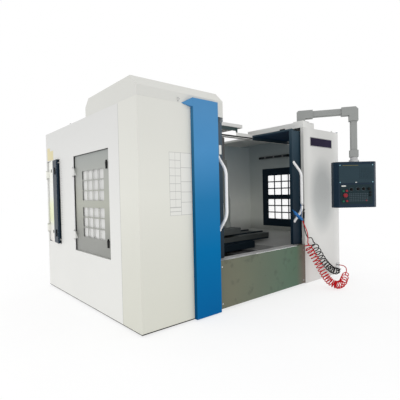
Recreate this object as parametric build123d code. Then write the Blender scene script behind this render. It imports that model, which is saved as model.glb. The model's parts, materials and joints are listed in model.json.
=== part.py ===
"""Vertical machining center: an enclosed mill with sliding doors, a swinging operator panel and two coiled hoses.

Lengths are millimetres. Stations are measured from the left side face, the front face and the floor,
and place() shifts them to the row's origin: the centre of the anchor holes, on the floor.
"""
import math
import os

from build123d import *

# Overall enclosure
width = 3300
depth = 2420
floor_gap = 15
panel_top = 2045
sheet = 2
clear = 0.3

# Stations across the front, from the left side face
corner_panel_right = 575
pillar_left = 577
pillar_width = 318
pillar_proud = 38
pillar_inner_depth = 42
pillar_top = 2104
right_panel_left = width - 870
right_panel_top = 2030
spindle_x = width / 2
corner_return = 335
return_depth = 42

# Apron and sill
apron_bottom = 27
apron_top = 520
apron_fold = 42

# Doors
door_face_y = 60
door_thick = 40
door_bottom = 530
door_top = 1980
door_width = 800
door_roof_depth = 650
door_roof_thick = 22
left_door_edge = pillar_left + pillar_width + 145
right_door_edge = right_panel_left - 166
door_post = 82
door_gap = 4
door_window = (430, 640)
door_window_z = 1330
glass_thick = 8
handle_dia = 32
handle_reach = 110
handle_low = 830
handle_high = 1575
handle_leg_rise = 140
handle_bend = 150
handle_inset_left = 60
handle_inset_right = 32
door_roof_rear = door_face_y + door_roof_depth
crossbar_y = door_roof_rear + clear

# Roof
hood_right = 1000
hood_profile = ((0, 0), (0, 90), (100, 190), (975, 180), (1060, 100), (1060, 0))
hood_front_drop = 72
hood_side_drop = 112
hood_wall = 3
crossbar_size = (38, 36)
roof_front_y = 1010
roof_left = hood_right + 20
roof_right = right_panel_left - 42
roof_z = 2165
roof_thick = 48
trunk_x = (right_panel_left + 10, right_panel_left + 270)
trunk_y = (12, 950)
trunk_top = 2105
inner_lip_x = right_panel_left + 130

# Side windows and the rear access door
window_y = (552, 1449)
window_z = (585, 1665)
right_window_y = (580, 1366)
right_window_z = (632, 1600)
access_y = (depth - 509, depth - 30)
access_z = (615, 1675)
leaf_gap = 3
leaf_recess = 18
leaf_thick = 20
grid_start_y = 702
grid_pitch_y = 139
grid_hole = (125, 100)
grid_rows_z = (1481, 1370, 1258, 1082, 971, 859)
grid_columns = 4
grid_corner = 12
hinge_pin_r = 5
hinge_bore_r = 5.06
hinge_barrel_r = 9
hinge_barrel_len = 90
access_ajar = 7
latch_size = (34, 96, 12)
latch_pivot_r = 6
latch_reach = 20
pane_thick = 5

# Casting and axes
anchor_spacing = (1060, 1600)
foot_r = 75
foot_height = 60
anchor_hole_r = 9
bed_half = 560
bed_top = 400
rail_size = (45, 32)
rail_offset = 400
column_half = 330
column_y = (depth - 700, depth - 120)
bed_y = (430, column_y[1])
anchor_y = column_y[0] - 320
column_top = 2160
head_rail_x = 220
saddle_front = 690
saddle_depth = 600
saddle_half = 600
saddle_top = 525
saddle_wing_half = 970
saddle_wing = (735, 1265)
cover_top = 611
table_length = 1200
table_width = 600
table_top = 732
table_thick = 84
table_offset = -270
slot_count = 5
slot_pitch = 100
slot_width = 18
slot_head = 30
slot_neck = 18
slot_depth = 34
x_rail_width = 35
x_rail_y = (860, 1140)
x_rail_top = 640
spindle_y = 1050
nose_z = 1452
head_bottom = 1510
head_top = 2010
head_half = 200
head_front_y = 850
spindle_r = 64
spindle_bore_r = 22
motor_top = 2300
motor_half = 110

# Tool magazine
disc_x = spindle_x - 745
disc_y = 1120
disc_z = 1690
disc_r = 350
disc_thick = 60
pot_count = 20
pot_r = 34
pot_length = 120
arm_axis_x = spindle_x - 325
arm_z = 1400
arm_half = 335
arm_thick = 36
arm_width = 90
arm_hub_rise = 16
axle_r = 24

# Operator station
arm_base = (right_panel_left + 90, 90)
arm_section = 80
elbow_size = 106
arm_swing_end = (arm_base[0] + 351, arm_base[1] - 531)
arm_axis_z = 2202
flange_plate = (150, 14)
box_width = 535
box_height = 575
box_bottom = 988
box_depth = 120
box_bevel = 45
box_turn = -40.3
collar_r = 45
collar_height = 62
bezel_size = (432, 232)
bezel_drop = 34
lower_size = (400, 242)
lower_drop = 288
screen_size = (212, 148)
plate_thick = 4
button_r = 13
button_travel = 5
button_proud = 12
stop_r = 27
knob_r = 19
knob_height = 24
stem_r = 6
stem_clear = 0.06

# Hoses
hose_r = 6
coil_r = 50


def place(name, solids):
    """Writes one node, moved from the enclosure's corner to the row's origin."""
    group = solids if isinstance(solids, list) else [solids]
    moved = [piece.moved(Location((-spindle_x, -anchor_y, 0))) for piece in group]
    shape = moved[0] if len(moved) == 1 else Compound(children=moved)
    shape.label = name
    export_step(shape, f"parts/{name}.step")


def block(x, y, z):
    """A box between two stations on each axis."""
    size = [abs(end - start) for start, end in (x, y, z)]
    centre = [(start + end) / 2 for start, end in (x, y, z)]
    return Pos(*centre) * Box(*size)


def rod(centre, radius, length, axis="Z"):
    """A cylinder centred on a point, along one axis."""
    turn = {"Z": (0, 0, 0), "X": (0, 90, 0), "Y": (90, 0, 0)}[axis]
    return Pos(*centre) * Rot(*turn) * Cylinder(radius, length)


def rounded_hole(centre, size, corner, thick, axis="X"):
    """A cutter with a rounded rectangular section: size is across, then up."""
    turn = {"X": Plane.YZ, "Y": Plane.XZ}[axis]
    cutter = extrude(turn * RectangleRounded(size[0], size[1], corner), thick / 2, both=True)
    return Pos(*centre) * cutter


def grid_cutter(centre, thick):
    """A cutter for one window opening, with cut corners."""
    across, up, cut = grid_hole[0] / 2, grid_hole[1] / 2, grid_corner * 0.6
    quarter = [(across - cut, up), (across, up - cut)]
    mirrored = [(y, -z) for y, z in reversed(quarter)]
    right = quarter + mirrored
    outline = right + [(-y, z) for y, z in reversed(right)]
    points = [(centre[1] + y, centre[2] + z) for y, z in outline]
    return prism_yz(points, centre[0] - thick / 2, centre[0] + thick / 2)


def prism_yz(points, x_start, x_end):
    """A profile given as (y, z) points, extruded from one X station to another."""
    face = make_face(Plane.YZ * Polyline(*points, close=True))
    return Pos(x_start, 0, 0) * extrude(face, x_end - x_start, dir=(1, 0, 0))


def prism_xy(points, z_start, z_end):
    """A profile given as (x, y) points, extruded upwards."""
    face = make_face(Polyline(*points, close=True))
    return Pos(0, 0, z_start) * extrude(face, z_end - z_start, dir=(0, 0, 1))


def tube_along(points, radius, radii):
    """A round bar along straight runs that are joined by tangent arcs."""
    path = FilletPolyline(*points, radius=radii)
    start = path % 0
    section = Plane(origin=path @ 0, z_dir=start) * Circle(radius)
    return sweep(section, path=path)


def arc_radii(points):
    """For each corner, 0.45 of the shorter run over the tangent of half the turn."""
    radii = []
    for before, corner, after in zip(points, points[1:], points[2:]):
        run_in = Vector(*corner) - Vector(*before)
        run_out = Vector(*after) - Vector(*corner)
        half = math.radians(run_in.get_angle(run_out) / 2)
        radii.append(0.45 * min(run_in.length, run_out.length) / math.tan(half))
    return radii


def machine_base():
    """Cast bed: ribbed sides, a chip slope each side and two guide rails for the saddle."""
    bed_x = (spindle_x - bed_half, spindle_x + bed_half)
    body = block(bed_x, bed_y, (foot_height, bed_top))
    pocket_z = (foot_height + 70, bed_top - 80)
    rib_pitch = (bed_y[1] - bed_y[0]) / 5
    for bay in range(5):
        start = bed_y[0] + rib_pitch * bay + 35
        for side in (-1, 1):
            face = spindle_x + side * bed_half
            body -= block((face - side * 90, face + side), (start, start + rib_pitch - 70), pocket_z)
    body -= block((spindle_x - 150, spindle_x + 150), (bed_y[0] - 1, column_y[0] - 80), (bed_top - 60, bed_top + 1))
    for side in (-1, 1):
        rail_x = spindle_x + side * rail_offset
        body += block((rail_x - rail_size[0] / 2, rail_x + rail_size[0] / 2), (bed_y[0] + 20, column_y[0] - 40),
                      (bed_top - 1, bed_top + rail_size[1]))
    return body


def levelling_feet():
    """Six levelling jacks: a foot disc, a threaded stem and a lock nut; the corner ones have anchor holes."""
    feet = []
    for across in (-1, 1):
        for along in (-1, 0, 1):
            x = spindle_x + across * anchor_spacing[0] / 2
            y = anchor_y + along * anchor_spacing[1] / 2
            stem_x = x - across * 42
            foot = Pos(stem_x, y, 9) * Cylinder(foot_r, 18)
            foot += Pos(stem_x, y, foot_height / 2 + 6) * Cylinder(14, foot_height - 12)
            foot += extrude(Pos(stem_x, y, foot_height - 16) * RegularPolygon(24, 6), 16)
            if along:
                foot -= rod((x, y, 9), anchor_hole_r, 40)
            feet.append(foot)
    return feet


def column():
    """Cast column: tapered sides, cored windows, two head rails and the magazine's bracket arm."""
    low, high = bed_top + clear, column_top
    profile = [(column_y[0], low), (column_y[0], high), (column_y[1] - 150, high), (column_y[1], 1250), (column_y[1], low)]
    body = prism_yz(profile, spindle_x - column_half, spindle_x + column_half)
    for side in (-1, 1):
        face = spindle_x + side * column_half
        for step in range(3):
            window_low = low + 160 + 400 * step
            body -= block((face - side * 60, face + side), (column_y[0] + 150, column_y[1] - 180),
                          (window_low, window_low + 280))
        rail_x = spindle_x + side * head_rail_x
        body += block((rail_x - 22, rail_x + 22), (column_y[0] - 34, column_y[0] + 1), (860, high - 30))
    bracket_z = (disc_z - 70, disc_z + 70)
    body += block((disc_x + 130, spindle_x - column_half + 1), (column_y[0] + 20, column_y[0] + 90), bracket_z)
    body += block((disc_x + 130, disc_x + 190), (disc_y - 60, column_y[0] + 90), bracket_z)
    body += rod((disc_x + 60, disc_y, disc_z), axle_r, 142, "X")
    body += block((arm_axis_x - 60, arm_axis_x + 60), (spindle_y - 60, column_y[0] + 1), (arm_z + 240, arm_z + 300))
    hub_top = arm_z + arm_thick + arm_hub_rise + clear
    post_top = arm_z + 241
    body += rod((arm_axis_x, spindle_y, (hub_top + post_top) / 2), 36, post_top - hub_top)
    return body


def side_opening(y_span, z_span, x_face):
    """The hole in a side panel."""
    return block((x_face - 60, x_face + 60), y_span, z_span)


def hinge_pins(x, y, heights):
    """Fixed leaf and pin of each hinge, on the frame's side."""
    parts = []
    for z in heights:
        parts.append(rod((x, y, z), hinge_pin_r, hinge_barrel_len + 24))
        for end in (-1, 1):
            knuckle = rod((x, y, z + end * (hinge_barrel_len / 2 + 7)), hinge_barrel_r, 12)
            parts.append(knuckle)
    return parts


def hinge_heights(z_span):
    """Two hinges, a sixth of the way in from each end."""
    rise = (z_span[1] - z_span[0]) / 6
    return (z_span[0] + rise, z_span[1] - rise)


def left_side_panel():
    """Folded side sheet with the window and access openings, their rims and the hinge pins."""
    z_span = (floor_gap, panel_top)
    body = block((0, sheet), (corner_return, depth), z_span)
    body += block((0, 40), (depth - sheet, depth), z_span)
    body += block((0, 40), (corner_return, corner_return + sheet), z_span)
    for y_span, opening_z in ((window_y, window_z), (access_y, access_z)):
        body -= side_opening(y_span, opening_z, 0)
        outer = block((0, leaf_recess + leaf_thick + 14), (y_span[0] - sheet, y_span[1] + sheet),
                      (opening_z[0] - sheet, opening_z[1] + sheet))
        inner = block((-1, leaf_recess + leaf_thick + 40), y_span, opening_z)
        body += outer - inner
        stop_x = leaf_recess + leaf_thick + 1
        stop = block((stop_x, stop_x + sheet), y_span, opening_z)
        hole = block((stop_x - 1, stop_x + 5), (y_span[0] + 22, y_span[1] - 22), (opening_z[0] + 22, opening_z[1] - 22))
        body += stop - hole
        for z in hinge_heights(opening_z):
            hinge_y = y_span[1] + hinge_barrel_r + 1
            for end in (-1, 1):
                lug_z = z + end * (hinge_barrel_len / 2 + 7)
                body += block((-hinge_barrel_r, 1), (hinge_y - 6, hinge_y + 6), (lug_z - 6, lug_z + 6))
            for part in hinge_pins(-hinge_barrel_r, hinge_y, [z]):
                body += part
    return body


def leaf_outline(y_span, z_span):
    """A door leaf that fits its opening: a shallow tray with returned edges and two hinge barrels."""
    y_in = (y_span[0] + leaf_gap, y_span[1] - leaf_gap)
    z_in = (z_span[0] + leaf_gap, z_span[1] - leaf_gap)
    face = block((leaf_recess, leaf_recess + leaf_thick), y_in, z_in)
    tray = block((leaf_recess + sheet, leaf_recess + leaf_thick + 1), (y_in[0] + sheet, y_in[1] - sheet),
                 (z_in[0] + sheet, z_in[1] - sheet))
    leaf = face - tray
    hinge_y = y_span[1] + hinge_barrel_r + 1
    for z in hinge_heights(z_span):
        barrel = rod((-hinge_barrel_r, hinge_y, z), hinge_barrel_r, hinge_barrel_len)
        strap_z = (z - hinge_barrel_len / 2 + 4, z + hinge_barrel_len / 2 - 4)
        barrel += block((-hinge_barrel_r - 4, -hinge_barrel_r), (y_span[1] - 40, hinge_y), strap_z)
        barrel += block((-hinge_barrel_r - 4, leaf_recess + 1), (y_span[1] - 40, y_span[1] - 34), strap_z)
        leaf += barrel
        leaf -= rod((-hinge_barrel_r, hinge_y, z), hinge_bore_r, hinge_barrel_len + 2)
    return leaf


def latch_centre(y_span, z):
    """Where a latch turns, near the leaf's free edge."""
    return (leaf_recess, y_span[0] + 70, z)


def latch_bore(centre):
    """The hole that a latch's spindle passes through."""
    return rod((centre[0] + 10, centre[1], centre[2]), latch_pivot_r + 0.06, 60, "X")


def latch(centre):
    """Quarter-turn paddle latch: a pointed handle outside, a spindle and a short cam inside."""
    half, tall, thick = latch_size[0] / 2, latch_size[1], latch_size[2]
    x, y, z = centre
    outline = [(y - half, z + tall * 0.25), (y, z + tall * 0.5), (y + half, z + tall * 0.25),
               (y + half * 0.6, z - tall * 0.4), (y - half * 0.6, z - tall * 0.4)]
    paddle = prism_yz(outline, x - thick - clear, x - clear)
    spindle_len = leaf_thick + thick
    paddle += rod((x - clear + spindle_len / 2 - 2, y, z), latch_pivot_r, spindle_len, "X")
    cam_x = x + leaf_thick + 3
    paddle += block((cam_x, cam_x + 4), (y - latch_reach, y + 9), (z - 9, z + 9))
    return paddle


def window_leaf():
    """Perforated window door: the tray leaf with a grid of rounded openings and two latch holes."""
    leaf = leaf_outline(window_y, window_z)
    for column_index in range(grid_columns):
        for row_top in grid_rows_z:
            y = grid_start_y + grid_pitch_y * column_index + grid_hole[0] / 2
            z = row_top - grid_hole[1] / 2
            leaf -= grid_cutter((leaf_recess, y, z), 10)
    for z in window_latch_z:
        leaf -= latch_bore(latch_centre(window_y, z))
    return leaf


def access_leaf():
    """Plain access door, closed."""
    leaf = leaf_outline(access_y, access_z)
    for z in access_latch_z:
        leaf -= latch_bore(latch_centre(access_y, z))
    return leaf


window_latch_z = (1509, 733)
access_latch_z = (1525, 743)


def window_pane(x_start, y, z, margin):
    """Clear sheet behind the grid, that fills the tray of a window spanning y and z."""
    return block((x_start, x_start + pane_thick), (y[0] + margin, y[1] - margin), (z[0] + margin, z[1] - margin))


def left_pane():
    """The left window door's sheet, with holes that clear the latches' spindles."""
    pane = window_pane(leaf_recess + leaf_thick - pane_thick, window_y, window_z, leaf_gap + sheet + clear)
    for z in window_latch_z:
        pane -= rod(latch_centre(window_y, z), latch_pivot_r + 1, 80, "X")
    return pane


def swing(shape, angle):
    """Turns an access-door piece about its hinge line, to where it rests."""
    axis = Axis((-hinge_barrel_r, access_y[1] + hinge_barrel_r + 1, 0), (0, 0, 1))
    return shape.rotate(axis, -angle)


def front_left_panel():
    """Corner sheet that folds from the side round to the front."""
    z_span = (floor_gap, panel_top)
    body = block((0, corner_panel_right), (0, sheet), z_span)
    body += block((0, sheet), (0, corner_return - clear), z_span)
    body += block((corner_panel_right - sheet, corner_panel_right), (0, return_depth - 20), z_span)
    return body


def blue_pillar():
    """Proud painted pillar with a wedge that leads to its top."""
    left, right = pillar_left, pillar_left + pillar_width
    shell = block((left, right), (-pillar_proud, -clear), (floor_gap, pillar_top))
    shell += block((left, right), (-pillar_proud, pillar_inner_depth), (floor_gap, panel_top - 80))
    shell -= block((left + sheet, right - sheet), (-pillar_proud + sheet, pillar_inner_depth + 1),
                   (floor_gap + sheet, panel_top - 82))
    tip = corner_panel_right - 107
    face = prism_yz([(-pillar_proud, 2022), (-pillar_proud, pillar_top), (-clear, pillar_top), (-clear, 2022)], tip, left + 1)
    slope = prism_xy([(tip, -clear), (left + 1, -pillar_proud), (left + 1, -clear)], 2000, 2120)
    side = prism_xz([(tip, panel_top), (left + 1, pillar_top), (left + 1, 2022)], -60, 60)
    return shell + (face & slope & side)


def front_apron():
    """Painted apron below the doors, folded back along the top, with stiffening returns."""
    x_span = (pillar_left + pillar_width + clear, right_panel_left - clear)
    body = block(x_span, (0, sheet), (apron_bottom, apron_top))
    body += block(x_span, (0, apron_fold), (apron_top - sheet, apron_top))
    body += block(x_span, (apron_fold - sheet, apron_fold), (apron_top - 26, apron_top))
    body += block(x_span, (0, 30), (apron_bottom, apron_bottom + sheet))
    return body


def right_front_panel():
    """Right front sheet with a deep left return and a base fold."""
    z_span = (floor_gap, right_panel_top)
    body = block((right_panel_left, width), (0, sheet), z_span)
    body += block((right_panel_left, right_panel_left + sheet), (0, return_depth), z_span)
    fold_x = (right_panel_left, width - sheet - clear)
    for low in (floor_gap, right_panel_top - sheet):
        body += block(fold_x, (0, 30), (low, low + sheet))
    return body


def right_side_panel():
    """Right side wall, with the window opening and its rim."""
    z_span = (floor_gap, panel_top)
    inner = width - sheet
    body = block((inner, width), (sheet + clear, depth), z_span)
    body += block((width - 40, width), (depth - sheet, depth), z_span)
    body -= side_opening(right_window_y, right_window_z, width)
    rim_y = (right_window_y[0] - sheet, right_window_y[1] + sheet)
    rim_z = (right_window_z[0] - sheet, right_window_z[1] + sheet)
    body += block((width - 40, width), rim_y, rim_z) - block((width - 60, width + 1), right_window_y, right_window_z)
    return body


def right_window_panel():
    """Bolted perforated window panel in the right wall, the mirror of the left one."""
    y_in = (right_window_y[0] + clear, right_window_y[1] - clear)
    z_in = (right_window_z[0] + clear, right_window_z[1] - clear)
    body = block((width - 38, width - 18), y_in, z_in)
    body -= block((width - 36, width - 17), (y_in[0] + sheet, y_in[1] - sheet), (z_in[0] + sheet, z_in[1] - sheet))
    for column_index in range(grid_columns):
        for row_top in grid_rows_z:
            y = grid_start_y + grid_pitch_y * column_index + grid_hole[0] / 2
            body -= grid_cutter((width - 37, y, row_top - grid_hole[1] / 2), 10)
    return body


def rear_cabinet():
    """Rear wall sheet with the electrical cabinet, its two vented doors and handles."""
    x_span = (40 + clear, width - 40 - clear)
    body = block(x_span, (depth - 22, depth - 20), (floor_gap, panel_top))
    for low in (floor_gap, panel_top - 20):
        body += block(x_span, (depth - 22, depth), (low, low + 20))
    cabinet = block((spindle_x - 950, spindle_x + 950), (depth - 21, depth), (260, 1900))
    for door_left in (spindle_x - 930, spindle_x + 10):
        for row in range(8):
            slot_z = 420 + 26 * row
            cabinet -= block((door_left + 300, door_left + 620), (depth - 14, depth + 1), (slot_z, slot_z + 10))
    cabinet -= block((spindle_x - 2, spindle_x + 2), (depth - 12, depth + 1), (260, 1900))
    return body + cabinet


def roof_hood():
    """Bent roof hood over the tool magazine, open below, with the drop flange beside the left door."""
    outer = [(y, panel_top + clear + z) for y, z in hood_profile]
    inner = [(0 + hood_wall, outer[0][1] - 1), (hood_wall, outer[1][1]), (101, outer[2][1] - hood_wall),
             (974, outer[3][1] - hood_wall), (1060 - hood_wall, outer[4][1]), (1060 - hood_wall, outer[0][1] - 1)]
    shell = prism_yz(outer, 0, hood_right) - prism_yz(inner, hood_wall, hood_right - hood_wall)
    right = pillar_left + pillar_width
    shell += block((right + 2, hood_right), (0, hood_wall), (panel_top - hood_front_drop, panel_top + 20))
    shell += block((hood_right - hood_wall, hood_right), (0, 50), (panel_top - hood_side_drop, panel_top + 20))
    return shell


def roof_cover():
    """Ribbed roof plate that rests on the column and is notched round the head."""
    z_span = (roof_z, roof_z + roof_thick)
    top = block((roof_left, roof_right), (roof_front_y, column_y[1] - 150), (z_span[1] - 3, z_span[1]))
    rim = block((roof_left, roof_right), (roof_front_y, column_y[1] - 150), z_span)
    rim -= block((roof_left + 3, roof_right - 3), (roof_front_y + 3, column_y[1] - 153), (z_span[0] - 1, z_span[1]))
    plate = top + rim
    for x in (roof_left + 160, *(roof_right - step for step in (388, 288, 188, 88))):
        plate += block((x - 12, x + 12), (roof_front_y, column_y[1] - 150), (z_span[0], z_span[1] - 1))
    plate += block((spindle_x - column_half, spindle_x + column_half), (column_y[0], column_y[1] - 150),
                   (column_top + clear, z_span[1] - 1))
    notch = block((spindle_x - head_half - 90, spindle_x + head_half + 90), (roof_front_y - 1, column_y[0] - 20),
                  (z_span[0] - 1, z_span[1] + 1))
    return plate - notch


def door_rails():
    """Top rear crossbar and the sill rail that the doors slide on."""
    x_span = (sheet + clear, width - sheet - clear)
    rail_z = (door_top - 4 - crossbar_size[1], door_top - 4)
    top = block(x_span, (crossbar_y, crossbar_y + crossbar_size[0]), rail_z)
    top -= block((0, width), (crossbar_y + 8, crossbar_y + crossbar_size[0] - 8), (rail_z[0] - 1, rail_z[1] - 8))
    sill = block(x_span, (apron_fold + clear, door_face_y + door_thick + 20), (apron_top - 20, apron_top))
    sill += block(x_span, (door_face_y + 14, door_face_y + 22), (apron_top - 1, apron_top + 14))
    return [top, sill]


def right_roof():
    """Right roof sheet with its turned-down inner lip and the raised cable trunk."""
    low = right_panel_top + clear
    body = block((inner_lip_x, width), (door_roof_rear + 20, depth - 24), (panel_top + clear, panel_top + clear + sheet))
    body += block((inner_lip_x, inner_lip_x + sheet), (door_roof_rear + 20, depth - 24), (panel_top - 30, panel_top + clear + sheet))
    trunk = block(trunk_x, trunk_y, (low, trunk_top))
    trunk -= block((trunk_x[0] + sheet, trunk_x[1] - sheet), (trunk_y[0] + sheet, trunk_y[1] - sheet), (low - 1, trunk_top - sheet))
    return body + trunk


def door(leading, side):
    """Sliding door: a post along the leading edge, a sheet leaf with its window opening, and a roof.

    leading is the station of the leading edge, and side is +1 for the right door, -1 for the left.
    """
    far = leading + side * door_width
    span = (min(leading, far), max(leading, far))
    post = (min(leading, leading + side * door_post), max(leading, leading + side * door_post))
    body = block(span, (door_face_y, door_face_y + 3), (door_bottom, door_top))
    body += block(post, (door_face_y, door_face_y + door_thick), (door_bottom, door_top))
    body += block(span, (door_face_y, door_face_y + door_thick), (door_bottom, door_bottom + 40))
    body += block(span, (door_face_y, door_face_y + door_thick), (door_top - 40, door_top))
    edge = (min(far, far - side * 30), max(far, far - side * 30))
    body += block(edge, (door_face_y, door_face_y + door_thick), (door_bottom, door_top))
    body += block(span, (door_face_y, door_roof_rear), (door_top, door_top + 3))
    body += block(span, (door_roof_rear - 3, door_roof_rear), (door_top - 4 - crossbar_size[1], door_top + 3))
    for rib in (0.02, 0.5, 0.98):
        x = span[0] + rib * door_width
        body += block((max(span[0], x - 15), min(span[1], x + 15)), (door_face_y, door_roof_rear),
                      (door_top, door_top + door_roof_thick))
    window_x = door_window_x(leading, side)
    body -= rounded_hole((window_x, door_face_y, door_window_z), door_window, 30, 20, "Y")
    groove = (door_face_y + 14 - clear, door_face_y + 22 + clear)
    body -= block((span[0] - 1, span[1] + 1), groove, (door_bottom - 1, apron_top + 14 + clear))
    return body


def door_window_x(leading, side):
    """The window's centre, across the door."""
    return leading + side * (door_post + (door_width - door_post) / 2)


def door_pane(leading, side):
    """Laminated window behind the leaf."""
    x = door_window_x(leading, side)
    across, up = door_window
    return rounded_hole((x, door_face_y + 3 + clear + glass_thick / 2, door_window_z), (across + 50, up + 50), 30, glass_thick, "Y")


def handle_path(x):
    """The handle's centre line: out from the post, up the grip and back."""
    out = door_face_y - clear
    grip = door_face_y - handle_reach
    return [(x, out, handle_low), (x, grip, handle_low + handle_leg_rise), (x, grip, handle_high - handle_leg_rise),
            (x, out, handle_high)]


def door_handle(x):
    """Bent tube handle with two mounting pads."""
    path = handle_path(x)
    bar = tube_along(path, handle_dia / 2, [handle_bend, handle_bend])
    for end in (path[0], path[-1]):
        bar += rod((end[0], end[1] - 3, end[2]), 20, 6, "Y")
    bar -= block((x - 60, x + 60), (door_face_y - clear, door_face_y + 60), (handle_low - 80, handle_high + 80))
    return bar


def chip_pans():
    """Sloped stainless pans each side of the bed, the front tray and the rear splash wall."""
    rear = column_y[0] - 34 - clear
    front = door_face_y + door_thick + 20 + clear
    left, right = sheet + clear, width - sheet - clear
    low, high = 470, 560
    body = block((left, right), (front, front + sheet), (bed_top - 4, apron_top - 10))
    body += block((left, right), (rear - sheet, rear), (bed_top - 4, 2000))
    for side, wall in ((-1, left), (1, right)):
        inner = spindle_x + side * (saddle_half + 30)
        body += prism_xz([(wall, high), (inner, low), (inner, low - sheet), (wall, high - sheet)], front, rear)
        foot = spindle_x + side * (bed_half + clear)
        body += block((min(inner, inner + side * sheet), max(inner, inner + side * sheet)), (front, rear),
                      (bed_top - 4, low))
        body += block((min(foot, inner), max(foot, inner)), (front, rear), (bed_top - 4, bed_top - 2))
    body -= block((spindle_x - 300, spindle_x + 300), (rear - 10, rear + 10), (high, 2001))
    body -= block((spindle_x - bed_half - clear, spindle_x + bed_half + clear), (bed_y[0] - clear, rear + 1),
                  (bed_top - 5, 560))
    body -= block((disc_x + 122, spindle_x - 250), (rear - 10, rear + 10), (disc_z - 78, disc_z + 78))
    body -= block((0, 40 + clear), (corner_return - clear, corner_return + sheet + clear), (bed_top, high + 10))
    body += block((70, spindle_x - 300), (rear - 40, rear), (1990, 2000))
    return body


def prism_xz(points, y_start, y_end):
    """A profile given as (x, z) points, extruded towards the back."""
    face = make_face(Plane.XZ * Polyline(*points, close=True))
    return Pos(0, y_start, 0) * extrude(face, y_end - y_start, dir=(0, 1, 0))


def work_lamp():
    """Tube lamp on the right wall, above the window, with two clips."""
    x = width - sheet - 34
    body = rod((x, 1110, 1790), 17, 640, "Y")
    for y in (830, 1390):
        body += block((x - 19, width - sheet - clear), (y - 14, y + 14), (1770, 1810))
    return body


def saddle():
    """Cast saddle: a lower body on the bed, a long upper beam, runner blocks and two table rails."""
    x_span = (spindle_x - saddle_half, spindle_x + saddle_half)
    y_span = (saddle_front, saddle_front + saddle_depth)
    body = block(x_span, y_span, (bed_top + rail_size[1] + clear, saddle_top))
    for side in (-1, 1):
        rail_x = spindle_x + side * rail_offset
        half = rail_size[0] / 2
        for edge in (-1, 1):
            inner = rail_x + edge * (half + 0.05)
            outer = rail_x + edge * (half + 22)
            for y in (saddle_front + 60, saddle_front + saddle_depth - 180):
                body += block((min(inner, outer), max(inner, outer)), (y, y + 120), (bed_top + 8, bed_top + rail_size[1] + 2))
    wing = 4 + clear
    body += block((spindle_x - saddle_wing_half + wing, spindle_x + saddle_wing_half - wing),
                  (saddle_wing[0] + wing, saddle_wing[1] - wing), (saddle_top - 1, cover_top - wing))
    for y in x_rail_y:
        body += block((spindle_x - saddle_wing_half + 10, spindle_x + saddle_wing_half - 10),
                      (y - x_rail_width / 2, y + x_rail_width / 2), (cover_top - wing - 1, x_rail_top - 12))
    return body


def saddle_cover():
    """Folded steel cover over the saddle's beam, slotted for the table rails."""
    x_span = (spindle_x - saddle_wing_half, spindle_x + saddle_wing_half)
    low = saddle_top + 21
    shell = block(x_span, saddle_wing, (low, cover_top))
    shell -= block((x_span[0] + 4, x_span[1] - 4), (saddle_wing[0] + 4, saddle_wing[1] - 4), (low - 1, cover_top - 4))
    for y in x_rail_y:
        half = x_rail_width / 2 + 4
        shell -= block((x_span[0] + 8, x_span[1] - 8), (y - half, y + half), (cover_top - 6, cover_top + 1))
    return shell


def table():
    """Work table: a base with four runner blocks, and the top land of each side of its T-slots."""
    centre_x = spindle_x + table_offset
    centre_y = (x_rail_y[0] + x_rail_y[1]) / 2
    x_span = (centre_x - table_length / 2, centre_x + table_length / 2)
    y_span = (centre_y - table_width / 2, centre_y + table_width / 2)
    low = table_top - table_thick
    body = block(x_span, y_span, (low, table_top - slot_depth))
    body = chamfer(body.edges().group_by(Axis.Z)[0], 6)
    for y in x_rail_y:
        for x in (x_span[0] + 180, x_span[1] - 300):
            for edge in (-1, 1):
                inner = y + edge * (x_rail_width / 2 + 0.05)
                outer = y + edge * (x_rail_width / 2 + 18)
                body += block((x, x + 120), (min(inner, outer), max(inner, outer)), (cover_top + 4, low + 1))
            body += block((x, x + 120), (y - 40, y + 40), (x_rail_top - 12 + clear, low + 1))
    centres = [centre_y + (index - (slot_count - 1) / 2) * slot_pitch for index in range(slot_count)]
    starts = [(y_span[0], y_span[0])] + [(y + slot_width / 2, y + slot_head / 2) for y in centres]
    ends = [(y - slot_width / 2, y - slot_head / 2) for y in centres] + [(y_span[1], y_span[1])]
    lands = []
    for (upper_start, lower_start), (upper_end, lower_end) in zip(starts, ends):
        land = block(x_span, (upper_start, upper_end), (table_top - slot_neck, table_top))
        lands.append(land + block(x_span, (lower_start, lower_end), (table_top - slot_depth, table_top - slot_neck)))
    return [body, *lands]


def spindle_head():
    """Head casting: box with a tapered belly, spindle quill, runner blocks, coolant ring and belt housing."""
    x_span = (spindle_x - head_half, spindle_x + head_half)
    rear = column_y[0] - 34 - clear
    profile = [(head_front_y, head_bottom), (head_front_y, head_top - 60), (head_front_y + 60, head_top),
               (rear, head_top), (rear, head_bottom - 60), (spindle_y + 240, head_bottom - 60), (spindle_y + 160, head_bottom)]
    body = prism_yz(profile, *x_span)
    for side in (-1, 1):
        rail_x = spindle_x + side * head_rail_x
        for edge in (-1, 1):
            inner = rail_x + edge * 22.05
            outer = rail_x + edge * 44
            for z in (head_bottom, head_top - 160):
                body += block((min(inner, outer), max(inner, outer)), (rear - 40, column_y[0] - 6), (z, z + 140))
        body += block((rail_x - 44, rail_x + 44), (rear - 40, rear), (head_bottom, head_top - 20))
    body -= rod((spindle_x, spindle_y, (head_bottom + head_top) / 2), spindle_r + 0.05, head_top - head_bottom + 40)
    body += Pos(spindle_x, spindle_y, head_bottom - 14) * (Cylinder(110, 30) - Cylinder(spindle_r + 0.05, 32))
    body += block((spindle_x - motor_half, spindle_x + motor_half), (spindle_y + 90, spindle_y + 90 + 2 * motor_half),
                  (head_top - 1, motor_top - 60))
    body += rod((spindle_x, spindle_y + 90 + motor_half, motor_top - 31), 70, 60)
    return body


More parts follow.
